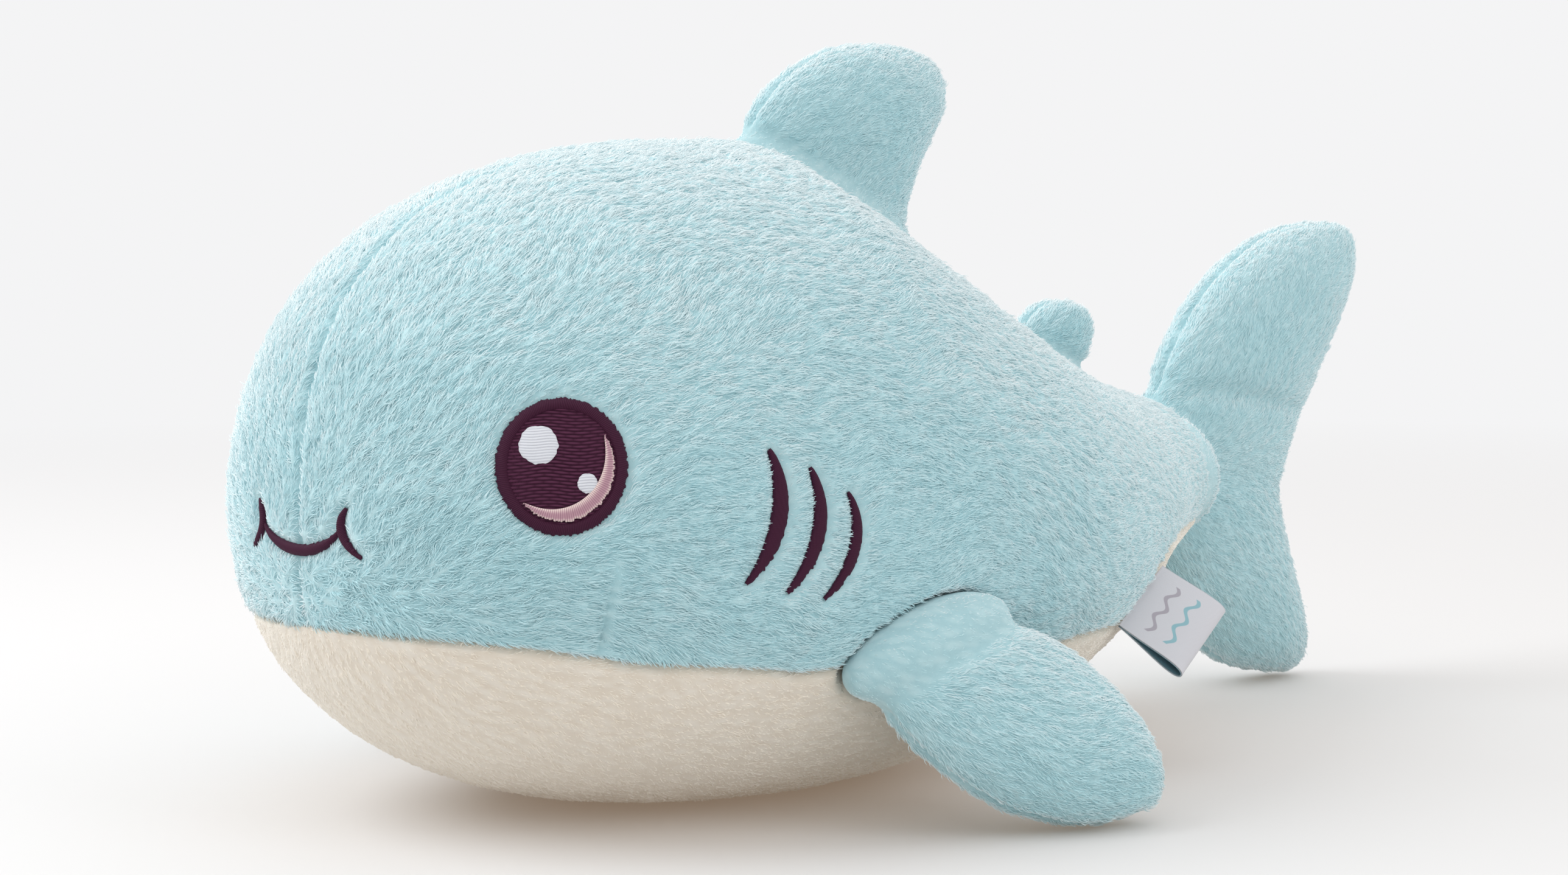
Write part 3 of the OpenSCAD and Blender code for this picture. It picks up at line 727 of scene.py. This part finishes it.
def embroidered(p):
    """How far p is from the nearest embroidery, in millimetres; 0 or less is on it."""
    far = np.full(p.shape[:-1], FAR)
    for side in (1, -1):
        s, t, d = patch_coords(EYE, p, side)
        r = np.sqrt((s / EYE_R[0]) ** 2 + (t / EYE_R[1]) ** 2)
        far = np.minimum(far, np.where(np.abs(d) < 20, (r - 1) * EYE_R[0], FAR))
        s, t, d = patch_coords(GILL, p, side)
        near = (np.abs(s) < 30) & (np.abs(t) < 30) & (np.abs(d) < 20)
        if near.any():
            for curve, w in GILL_CURVES:
                far[near] = np.minimum(far[near], stroke_distance(curve, w, s[near], t[near]))
    s, t, d = patch_coords(MOUTH, p)
    near = (np.abs(s) < 30) & (np.abs(t) < 16) & (np.abs(d) < 20)
    if near.any():
        mirrored = [(-a, b) for a, b in CHEEK]
        for curve, w in ((SMILE, SMILE_W), (CHEEK, CHEEK_W), (mirrored, CHEEK_W)):
            far[near] = np.minimum(far[near], stroke_distance(curve, w, s[near], t[near]))
    return far


def stroke_half(v, w):
    return w / 2 * (0.18 + 0.82 * np.maximum(0, np.sin(math.pi * v)) ** 0.8)


def stroke_distance(curve, w, s, t):
    far = np.full(s.shape, FAR)
    for v in np.linspace(0, 1, 33):
        q = bezier(curve, v)
        far = np.minimum(far, np.hypot(s - q[0], t - q[1]) - stroke_half(v, w))
    return far


def plate_mesh(name, f, side, s, t, h):
    """A domed sheet of thread on the skin, from grids of patch coordinates and heights."""
    p = on_patch(f, s, t, h)
    p[..., 0] *= side
    me = grid_mesh(name, to_frame(p))
    p, n = get_points(me)
    if dot(n.mean(0), f[3] * [side, 1, 1]) < 0:
        me.flip_normals()
    return me


# Skins and their fur
def bare_skin(at, up):
    return (embroidered(at) < 0.35) | (root_distance(at) < 0.03)


def seam_short(at):
    top = 1 - 0.88 * np.exp(-((at[:, 0] / 1.5) ** 2)) * (at[:, 2] > 60)
    around = 0.4 + 0.6 * ease(embroidered(at) / 3.0)
    dart, _ = segment_distance(at * [np.sign(at[0, 0]), 1, 1], *DART)
    around = around * (1 - 0.25 * ease((at[:, 1] - 20) / 100))
    return top * around * (0.2 + 0.8 * ease((TAIL_SEAM - at[:, 1]) / 2.6)) * (0.15 + 0.85 * ease(dart / 2.6))


def finished(ob, body, nodes):
    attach(ob, body)
    if nodes:
        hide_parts(*nodes)
    return ob


for side, word, seed in ((1, "left", 101), (-1, "right", 102)):
    p, tall, n = side_skin(side)
    me = grid_mesh(f"{word}_side_skin", to_frame(p))
    ob = add_object(f"{word}_side_skin", me, BLUE_FLEECE)
    me.update()
    if dot(get_points(me)[1].mean(0), vec(side, 0, 0)) < 0:
        me.flip_normals()
    mark(me, "pile", tall)
    nodes = [f"{word}_side_panel"] + (["back_seam_thread"] if side == 1 else [])
    finished(ob, "body", nodes + [f"{word}_belly_seam_thread"])
    fur(f"{word}_side_fur", me, "body", SIDE_PILE, BLUE_PILE, seed, body_nap, bare_skin, seam_short)

p, tall, n = belly_skin()
me = grid_mesh("belly_skin", to_frame(p))
ob = add_object("belly_skin", me, CREAM_FLEECE)
if dot(get_points(me)[1].mean(0), vec(0, 0, -1)) < 0:
    me.flip_normals()
mark(me, "pile", tall)
finished(ob, "body", ["belly_panel"])
fur("belly_fur", me, "body", BELLY_PILE, CREAM_PILE, 103, belly_nap,
    lambda at, up: (at[:, 2] < 0.6) | bare_skin(at, up))


# ---- Fin skins ----
def polyline_distance(p, line):
    far = np.full(len(p), FAR)
    for a, b in zip(line[:-1], line[1:]):
        far = np.minimum(far, segment_distance(p, a, b)[0])
    return far


def edge_line(f, from_v=0.1):
    v = np.linspace(from_v, 1, 16)
    q = np.concatenate([bezier(f["front"], v), bezier(f["back"], v[::-1])[1:]])
    return place(f, np.concatenate([q, 0 * q[:, :1]], 1))


def fin_skin(name, shells, lines, lean, body, nodes, seed, voxel=1.1, hidden=None, smoothing=14,
             folds=(), root=None):
    """One smooth skin round a fin's blades and root, with seam grooves and pile."""
    points, faces, first = [], [], 0
    for s in shells:
        faces += ring_faces(s.shape[0], s.shape[1], first)
        points.append(s.reshape(-1, 3))
        first += len(points[-1])
    me = mesh_of(name, to_frame(np.concatenate(points)), faces)
    ob = add_object(name, me, BLUE_FLEECE)
    m = ob.modifiers.new("remesh", "REMESH")
    m.mode, m.voxel_size = "VOXEL", voxel * MM
    m = ob.modifiers.new("smooth", "SMOOTH")
    m.factor, m.iterations = 0.6, smoothing
    m = ob.modifiers.new("fine", "SUBSURF")
    m.levels = m.render_levels = 1
    me = applied(ob)
    me.polygons.foreach_set("use_smooth", np.ones(len(me.polygons), bool))
    p, n = get_points(me)

    def nap(q, up):
        v = np.broadcast_to(lean, q.shape) if not callable(lean) else lean(q)
        return turned(tangent(v, up), up, 0.8 * swirl(q))

    def grown(q):
        """0 on the part of the root that turns into its socket, 1 well clear of it."""
        c = fin_coords(root[0], q)
        clear = ease((np.linalg.norm(c / root[1], axis=-1) - 1.0) / 0.4)
        return np.maximum(clear, ease((c[..., root[2]] - root[3]) / 4))

    edge = hidden(p) * grown(p)
    h, tall = relief(p, n, nap, edge, 0.9, 0.3)
    groove = np.full(len(p), FAR)
    for line in lines:
        groove = np.minimum(groove, polyline_distance(p, line))
    h = h - 1.9 * np.exp(-((groove / 1.2) ** 2)) * edge
    for a, b in folds:
        fold, along = segment_distance(p * [0, 1, 1], a, b)
        h = h - 2.2 * np.exp(-((fold / 3.2) ** 2)) * (1 - (2 * along - 1) ** 2)
    set_points(me, p + h[:, None] * n)
    mark(me, "pile", tall)
    finished(ob, body, nodes)

    def short(q):
        far = np.full(len(q), FAR)
        for line in lines:
            far = np.minimum(far, polyline_distance(q, line))
        return (0.1 + 0.9 * ease(far / 2.2)) * (0.3 + 0.7 * hidden(q)) * (0.45 + 0.55 * grown(q))

    fur(name.replace("skin", "fur"), me, body, FIN_PILE, BLUE_PILE, seed, nap,
        lambda at, up: hidden(at) < 0.02, short)
    return ob


def above_skin(p):
    """0 inside the body, 1 a few millimetres outside its skin."""
    return ease((np.sqrt(np.maximum(depth(p), 0)) - 1.0) * 60 / 3.5)


def root_size(f):
    return vec(f["half_len"], f["r"], f["r"])


def root_ball(f):
    return ball(f["o"], f["axes"], root_size(f))


def fin_nodes(prefix, words=("left_panel", "right_panel")):
    return [f"{prefix}_{w}" for w in words] + [f"{prefix}_seam_thread"]


fin_skin("dorsal_skin", [blade_rings(DORSAL), root_ball(DORSAL)], [edge_line(DORSAL)],
         vec(0, 0.9, 0.5), "dorsal_fin", fin_nodes("dorsal"), 104, hidden=above_skin,
         root=(DORSAL, root_size(DORSAL), 1, 6.0))
fin_skin("second_dorsal_skin", [blade_rings(SECOND), root_ball(SECOND)], [edge_line(SECOND)],
         vec(0, 0.9, 0.5), "second_dorsal_fin", fin_nodes("second_dorsal"), 105, 0.8, hidden=above_skin,
         root=(SECOND, root_size(SECOND), 1, 4.0))
for word, f, side, seed in (("left", LEFT_PECTORAL, 1, 106), ("right", RIGHT_PECTORAL, -1, 107)):
    full = dict(f, back=[(19, 0), (38, 12), (54, 50), (38, 57)])
    lean = f["axes"][0] * 0.75 + f["axes"][1] * 0.65
    fin_skin(f"{word}_pectoral_skin", [blade_rings(full), root_ball(f)], [edge_line(full)],
             lean, f"{word}_pectoral_fin",
             fin_nodes(f"{word}_pectoral", ("upper_panel", "lower_panel")), seed, 0.9, hidden=above_skin,
             smoothing=34, root=(f, root_size(f), 1, f["r"]))


def tail_lean(p):
    up = np.tanh((p[..., 2] - 68) / 14)
    return np.stack([0 * up, 0.95 + 0 * up, 0.75 * up], -1)


def tail_free(p):
    return ease((p[..., 1] - TAIL_SEAM - 0.5) / 3.5)


tail_root = ball(vec(0, TAIL_SEAM, TAIL_MID), np.eye(3)[[2, 0, 1]], vec(TAIL_RZ, TAIL_RX, TAIL_RX))
fin_skin("tail_skin", [blade_rings(UPPER_LOBE), blade_rings(LOWER_LOBE), tail_root],
         [edge_line(UPPER_LOBE, 0.2), edge_line(LOWER_LOBE, 0.2)], tail_lean, "tail_fin",
         fin_nodes("tail"), 108, 1.2, hidden=tail_free, folds=[(vec(0, 184, 97), vec(0, 262, 86))],
         root=(dict(UPRIGHT, o=vec(0, TAIL_SEAM, TAIL_MID)), vec(TAIL_RX, TAIL_RZ, TAIL_RX), 0, 8.5))


# ---- Embroidery ----
def rows_height(x, pitch):
    """Rounded rows of thread: 1 on each thread, 0 between."""
    return np.abs(np.cos(math.pi * x / pitch)) ** 0.7


def jagged(x, seed, size=0.55):
    """Uneven stitch ends along an edge."""
    return noise(np.stack([x / size, 0 * x, 0 * x + seed], -1), 1.0, 31)


def eye_pieces(side, word):
    # Fill: long rows across, a little wavy, with the needle's bricked entry points
    k, g = np.linspace(0.0, 1, 130)[:, None], np.linspace(0, 2 * math.pi, 361)[None, :]
    inner = EYE_R - BORDER_W + 0.4
    s, t = k * np.cos(g) * inner[0], k * np.sin(g) * inner[1]
    wave = t + 0.25 * np.sin(s / 2.3) + 0.12 * noise(np.stack([s, t, 0 * s], -1), 3, 8)
    row = rows_height(wave, 0.75)
    brick = rows_height(s + 1.7 * np.floor(wave / 0.75 + 0.5), 3.6)
    stitch = row * (0.55 + 0.45 * brick)
    me = plate_mesh(f"{word}_eye_fill_thread", EYE, side, s, t, 0.55 + 0.28 * stitch)
    mark(me, "stitch", 0.95 * stitch)
    ob = add_object(f"{word}_eye_fill_thread", me, PLUM_THREAD)
    finished(ob, "body", [f"{word}_eye_fill"])

    # Border: satin stitches across a rounded ring
    g = np.linspace(0, 2 * math.pi, 1400)[None, :]
    u = np.linspace(-1, 1, 21)[:, None]
    frayed = (0.34 * jagged(g * 14.5, 3, 0.34) + 0.2) * np.abs(u) ** 3 * (u > 0)
    r_mid = EYE_R - BORDER_W / 2
    off = u * (BORDER_W / 2 + frayed)
    s, t = (r_mid[0] + off) * np.cos(g), (r_mid[1] + off) * np.sin(g)
    across = rows_height(g * 14.5 + 0.25 * u, STITCH_PITCH)
    h = 0.25 + 1.05 * np.sqrt(np.maximum(0, 1 - u**2)) + 0.1 * across
    me = plate_mesh(f"{word}_eye_border_thread", EYE, side, s, t, h)
    mark(me, "stitch", 0.1 + 0.55 * across + 0 * s)
    ob = add_object(f"{word}_eye_border_thread", me, PLUM_THREAD)
    finished(ob, "body", [f"{word}_eye_border"])

    # Glints: round satin patches
    for kind, at, size in (("large", (-0.35, 0.31), 0.30), ("small", (0.39, -0.26), 0.155)):
        g, k = np.linspace(0, 2 * math.pi, 200)[None, :], np.linspace(0, 1, 40)[:, None]
        r = size * EYE_R[0] * (1 + 0.06 * jagged(g * 3, 4))
        s = at[0] * EYE_R[0] + k * r * np.cos(g)
        t = at[1] * EYE_R[1] + k * r * np.sin(g)
        across = rows_height(t + 0.15 * np.sin(s / 1.4), 0.62)
        h = 0.72 + 0.42 * np.sqrt(np.maximum(0, 1 - k**4)) + 0.16 * across
        name = f"{word}_eye_{kind}_glint_thread"
        me = plate_mesh(name, EYE, side, s, t, h)
        mark(me, "stitch", 0.35 + 0.5 * across + 0 * s)
        ob = add_object(name, me, GLINT_THREAD)
        finished(ob, "body", [f"{word}_eye_{kind}_glint"])

    # Crescent: radial stitches with uneven inner ends
    a = np.linspace(34, -138, 420)[None, :]
    k = np.linspace(0, 1, 16)[:, None]
    turn = (34 - a) / 172
    w = 0.265 * np.maximum(0, np.sin(math.pi * turn)) ** 0.7 + 0.01
    r = 0.975 - k * w + (1 - k) ** 3 * 0.03 * jagged(a / 3.0, 6)
    g = np.radians(a)
    inner = EYE_R - BORDER_W
    s, t = inner[0] * r * np.cos(g), inner[1] * r * np.sin(g)
    across = rows_height(g * 11, 0.5)
    h = 0.95 + 0.4 * np.sqrt(np.maximum(0, 1 - (2 * k - 1) ** 4)) + 0.1 * across
    me = plate_mesh(f"{word}_eye_crescent_thread", EYE, side, s, t, h)
    tips = np.maximum(ease((k - 0.45) / 0.55), ease((0.28 - k) / 0.28))
    mark(me, "stitch", 0.15 + 0.42 * across + 0.5 * tips * (0.4 + 0.6 * across) + 0 * s)
    ob = add_object(f"{word}_eye_crescent_thread", me, MAUVE_THREAD)
    finished(ob, "body", [f"{word}_eye_crescent"])


def stroke_mesh(name, f, side, curve, w, seed):
    """A tapered satin stroke: threads laid across a rounded bead."""
    v, u = np.linspace(0, 1, 220)[None, :], np.linspace(-1, 1, 15)[:, None]
    q = bezier(curve, v[0])
    t = unit(np.gradient(q, axis=0))
    length = np.cumsum(np.linalg.norm(np.gradient(q, axis=0), axis=1))[None, :]
    ragged = (0.1 + 0.42 * ease(2.2 * v - 0.8) * (u > 0)) * jagged(length, seed)
    half = stroke_half(v, w) + 0.12 + ragged * np.abs(u) ** 2
    s = q[None, :, 0] - t[None, :, 1] * u * half
    r = q[None, :, 1] + t[None, :, 0] * u * half
    across = rows_height(length + 0.35 * u * half, STITCH_PITCH)
    h = 0.2 + 1.0 * np.sqrt(np.maximum(0, 1 - u**2)) * np.minimum(1, half / 0.9) + 0.1 * across
    me = plate_mesh(name, f, side, s, r, h)
    mark(me, "stitch", 0.15 + 0.5 * across + 0 * s)
    return me


def joined(name, meshes, material):
    """One object from several stitched meshes."""
    parts = [add_object(f"{name}_{i}", me, material) for i, me in enumerate(meshes)]
    with bpy.context.temp_override(active_object=parts[0], selected_editable_objects=parts):
        bpy.ops.object.join()
    parts[0].name = name
    return parts[0]


for side, word in ((1, "left"), (-1, "right")):
    eye_pieces(side, word)
    meshes = [stroke_mesh(f"gill_{i}", GILL, side, curve, w, 12 + i)
              for i, (curve, w) in enumerate(GILL_CURVES)]
    ob = joined(f"{word}_gill_thread", meshes, PLUM_THREAD)
    finished(ob, "body", [f"{word}_gill_embroidery"])
meshes = [stroke_mesh("smile", MOUTH, 1, SMILE, SMILE_W, 20),
          stroke_mesh("cheek_a", MOUTH, 1, CHEEK, CHEEK_W, 21),
          stroke_mesh("cheek_b", MOUTH, -1, CHEEK, CHEEK_W, 22)]
ob = joined("mouth_thread", meshes, PLUM_THREAD)
finished(ob, "body", ["mouth_embroidery"])


# ---- Carried-over CAD nodes: filling and backing, hidden inside ----
def fibre_material(name, colour, scale):
    m, nt, bsdf = new_material(name)
    n = node(nt, "ShaderNodeTexNoise")
    n.inputs["Scale"].default_value = scale
    n.inputs["Detail"].default_value = 6
    nt.links.new(blend_colours(nt, tuple(c * 0.85 for c in colour), colour, n.outputs["Fac"]),
                 bsdf.inputs["Base Color"])
    bsdf.inputs["Roughness"].default_value = 0.95
    bump(nt, bsdf, n.outputs["Fac"], 0.6, 0.001)
    return m


FILLING = fibre_material("polyester_filling", (0.85, 0.85, 0.83), 300)
BACKING = fibre_material("non_woven_backing", (0.78, 0.78, 0.75), 900)


LABEL_LINES = ((7.6, (0.34, 0.31, 0.36)), (13.6, (0.20, 0.42, 0.48)))
WAVE_LENGTH, LINE_ENDS = 9.0, 11.5


def woven_material(name, outside, inside):
    """Ribbon: a fine warp and weft, a different colour on its back."""
    m, nt, bsdf = new_material(name)
    at = node(nt, "ShaderNodeAttribute", attribute_name="across")
    along = node(nt, "ShaderNodeAttribute", attribute_name="along")
    waves = []
    for source, pitch in ((at, 0.35), (along, 0.3)):
        s = node(nt, "ShaderNodeMath", operation="SINE")
        k = node(nt, "ShaderNodeMath", operation="MULTIPLY")
        k.inputs[1].default_value = 2 * math.pi / pitch
        nt.links.new(source.outputs["Fac"], k.inputs[0])
        nt.links.new(k.outputs[0], s.inputs[0])
        waves.append(s.outputs[0])
    both = node(nt, "ShaderNodeMath", operation="MULTIPLY")
    nt.links.new(waves[0], both.inputs[0])
    nt.links.new(waves[1], both.inputs[1])
    face = node(nt, "ShaderNodeAttribute", attribute_name="inside")
    # Two plain wavy lines on the outside
    woven = outside
    for middle, ink in LABEL_LINES:
        phase = node(nt, "ShaderNodeMath", operation="MULTIPLY_ADD")
        phase.inputs[1].default_value = 2 * math.pi / WAVE_LENGTH
        phase.inputs[2].default_value = middle
        nt.links.new(at.outputs["Fac"], phase.inputs[0])
        wave = node(nt, "ShaderNodeMath", operation="SINE")
        nt.links.new(phase.outputs[0], wave.inputs[0])
        line = node(nt, "ShaderNodeMath", operation="MULTIPLY_ADD")
        line.inputs[1].default_value, line.inputs[2].default_value = 1.0, middle
        nt.links.new(wave.outputs[0], line.inputs[0])
        off = node(nt, "ShaderNodeMath", operation="SUBTRACT")
        nt.links.new(along.outputs["Fac"], off.inputs[0])
        nt.links.new(line.outputs[0], off.inputs[1])
        size = node(nt, "ShaderNodeMath", operation="ABSOLUTE")
        nt.links.new(off.outputs[0], size.inputs[0])
        ends = node(nt, "ShaderNodeMath", operation="ABSOLUTE")
        nt.links.new(at.outputs["Fac"], ends.inputs[0])
        both_in = node(nt, "ShaderNodeMath", operation="MULTIPLY")
        nt.links.new(remap(nt, size.outputs[0], 0.5, 0.7, 1.0, 0.0), both_in.inputs[0])
        nt.links.new(remap(nt, ends.outputs[0], LINE_ENDS, LINE_ENDS + 0.3, 1.0, 0.0), both_in.inputs[1])
        woven = blend_colours(nt, woven, ink, both_in.outputs[0])
    colour = blend_colours(nt, woven, inside, face.outputs["Fac"])
    dark = blend_colours(nt, colour, (0.5, 0.5, 0.55), remap(nt, both.outputs[0], -1, 1, 0.12, 0.0))
    nt.links.new(dark, bsdf.inputs["Base Color"])
    bsdf.inputs["Roughness"].default_value = 0.45
    bsdf.inputs["Sheen Weight"].default_value = 0.2
    bump(nt, bsdf, both.outputs[0], 0.25, 0.00015)
    return m


RIBBON = woven_material("label_ribbon", (0.58, 0.58, 0.62), (0.10, 0.26, 0.33))


def make_label():
    """The ribbon loop, on the same path as the part's label."""
    y0 = vec(LABEL_Y)
    seam = float(seam_angle(y0)[0])
    w, top, bottom, m = (float(v[0]) for v in section(y0))
    origin = vec((w + 0.9) * math.cos(seam), LABEL_Y, m + (m - bottom + 0.9) * math.sin(seam))
    ends = [skin_point(vec(y), seam_angle(vec(y)))[0] for y in (LABEL_Y + 13, LABEL_Y - 13)]
    along = unit(ends[0] - ends[1])
    out = unit(np.cross(along, np.cross(vec(0.66, 0.45, -0.6), along)))
    up = np.cross(out, along)
    v = np.linspace(0, 1, 121)
    wide = 1 - np.abs(2 * v - 1) ** 2.2
    loop = np.stack([LABEL_LEN * wide, 3.2 * np.sin(2 * math.pi * v) * 0.5 * wide**0.3
                     + 0.35 * (1 - 2 * v)], -1)
    s = np.linspace(-LABEL_W / 2, LABEL_W / 2, 90)
    t = unit(np.gradient(loop, axis=0))
    side = np.stack([t[:, 1], -t[:, 0]], -1)
    length = np.cumsum(np.linalg.norm(np.gradient(loop, axis=0), axis=1))

    def rib(q):
        bow = 0.5 * np.sin(s / 9.0)[None, :] * (q[:, :1] / LABEL_LEN)
        return (origin + q[:, :1, None] * out + (q[:, 1:2] + bow)[..., None] * up
                + s[None, :, None] * along)

    outer, inner = rib(loop), rib(loop + 0.5 * side)
    rows, cols = outer.shape[:2]
    p = np.concatenate([outer.reshape(-1, 3), inner.reshape(-1, 3)])
    f = grid_faces(rows, cols)
    k = rows * cols
    rim = []
    border = ([(i * cols, (i + 1) * cols) for i in range(rows - 1)]
              + [((i + 1) * cols + cols - 1, i * cols + cols - 1) for i in range(rows - 1)]
              + [(j + 1, j) for j in range(cols - 1)]
              + [((rows - 1) * cols + j, (rows - 1) * cols + j + 1) for j in range(cols - 1)])
    for a, b in border:
        rim.append([b, a, a + k, b + k])
    me = mesh_of("ribbon_loop", to_frame(p), f.tolist() + (f[:, ::-1] + k).tolist() + rim)
    mark(me, "across", np.tile(np.tile(s, rows), 2))
    mark(me, "along", np.tile(np.repeat(length, cols), 2))
    mark(me, "inside", np.repeat([0.0, 1.0], k))
    ob = add_object("ribbon_loop", me, RIBBON)
    finished(ob, "label", ["ribbon_label"])


make_label()
for name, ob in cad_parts.items():
    if ob.hide_render:
        continue
    material = BACKING if "backing" in name else FILLING
    ob.data.materials.clear()
    ob.data.materials.append(material)

# ---- Floor, light and camera ----
BACKDROP = (0.905, 0.905, 0.912)
floor_me = bpy.data.meshes.new("floor")
floor_me.from_pydata([(-8, -8, 0), (8, -8, 0), (8, 8, 0), (-8, 8, 0)], [], [(0, 1, 2, 3)])
m, nt, bsdf = new_material("studio_floor")
bsdf.inputs["Base Color"].default_value = (0.60, 0.62, 0.64, 1)
# The floor glows faintly warm: painted bounce light that lifts the shadow under the shark.
bsdf.inputs["Emission Color"].default_value = (1.0, 0.74, 0.54, 1)
bsdf.inputs["Emission Strength"].default_value = 0.13
bsdf.inputs["Roughness"].default_value = 0.6
bsdf.inputs["Specular IOR Level"].default_value = 0.1
geo = node(nt, "ShaderNodeNewGeometry")
far = node(nt, "ShaderNodeVectorMath", operation="LENGTH")
nt.links.new(geo.outputs["Position"], far.inputs[0])
glow = node(nt, "ShaderNodeEmission")
glow.inputs[0].default_value = (*BACKDROP, 1)
both = node(nt, "ShaderNodeMixShader")
nt.links.new(remap(nt, far.outputs["Value"], 0.35, 1.6), both.inputs[0])
nt.links.new(bsdf.outputs[0], both.inputs[1])
nt.links.new(glow.outputs[0], both.inputs[2])
nt.links.new(both.outputs[0], [x for x in nt.nodes if x.type == "OUTPUT_MATERIAL"][0].inputs[0])
floor = bpy.data.objects.new("floor", floor_me)
floor_me.materials.append(m)
floor.location.z = -0.0004
bpy.context.scene.collection.objects.link(floor)

world = bpy.data.worlds.new("studio")
bpy.context.scene.world = world
world.use_nodes = True
wt = world.node_tree
background = wt.nodes["Background"]
path = node(wt, "ShaderNodeLightPath")
where = node(wt, "ShaderNodeTexCoord")
split = node(wt, "ShaderNodeSeparateXYZ")
wt.links.new(where.outputs["Generated"], split.inputs[0])
sky = blend_colours(wt, (0.60, 0.58, 0.56), (1.2, 1.2, 1.2), remap(wt, split.outputs["Z"], -0.1, 0.9))
wt.links.new(blend_colours(wt, sky, BACKDROP, path.outputs["Is Camera Ray"]), background.inputs[0])


def area_light(name, place_at, target, size, power, colour=(1, 1, 1)):
    data = bpy.data.lights.new(name, "AREA")
    data.shape, data.size, data.energy, data.color = "DISK", size, power, colour
    ob = bpy.data.objects.new(name, data)
    bpy.context.scene.collection.objects.link(ob)
    ob.location = place_at
    d = unit(vec(*target) - vec(*place_at))
    ob.rotation_mode = "QUATERNION"
    ob.rotation_quaternion = Vector(d).to_track_quat("-Z", "Y")
    return ob


area_light("key", (-0.75, -0.95, 1.15), (0, -0.03, 0.08), 1.2, 14.0)
area_light("side", (1.5, 0.15, 0.9), (0, 0.06, 0.09), 0.9, 3.0)

AZIMUTH, ELEVATION, DISTANCE = math.radians(45), math.radians(3.7), 0.748
LOOK_AT = (0.0075, -0.0604, 0.0886)
back = vec(math.sin(AZIMUTH) * math.cos(ELEVATION), -math.cos(AZIMUTH) * math.cos(ELEVATION),
           math.sin(ELEVATION))
cam_data = bpy.data.cameras.new("camera")
cam_data.lens, cam_data.sensor_width = 65, 36
cam_data.clip_start, cam_data.clip_end = 0.01, 50
camera = bpy.data.objects.new("camera", cam_data)
bpy.context.scene.collection.objects.link(camera)
camera.location = Vector(LOOK_AT) + Vector(back) * DISTANCE
camera.rotation_mode = "QUATERNION"
camera.rotation_quaternion = Vector(-back).to_track_quat("-Z", "Y")
bpy.context.scene.camera = camera
bpy.context.scene.view_settings.view_transform = "Standard"
bpy.context.scene.view_settings.look = "None"
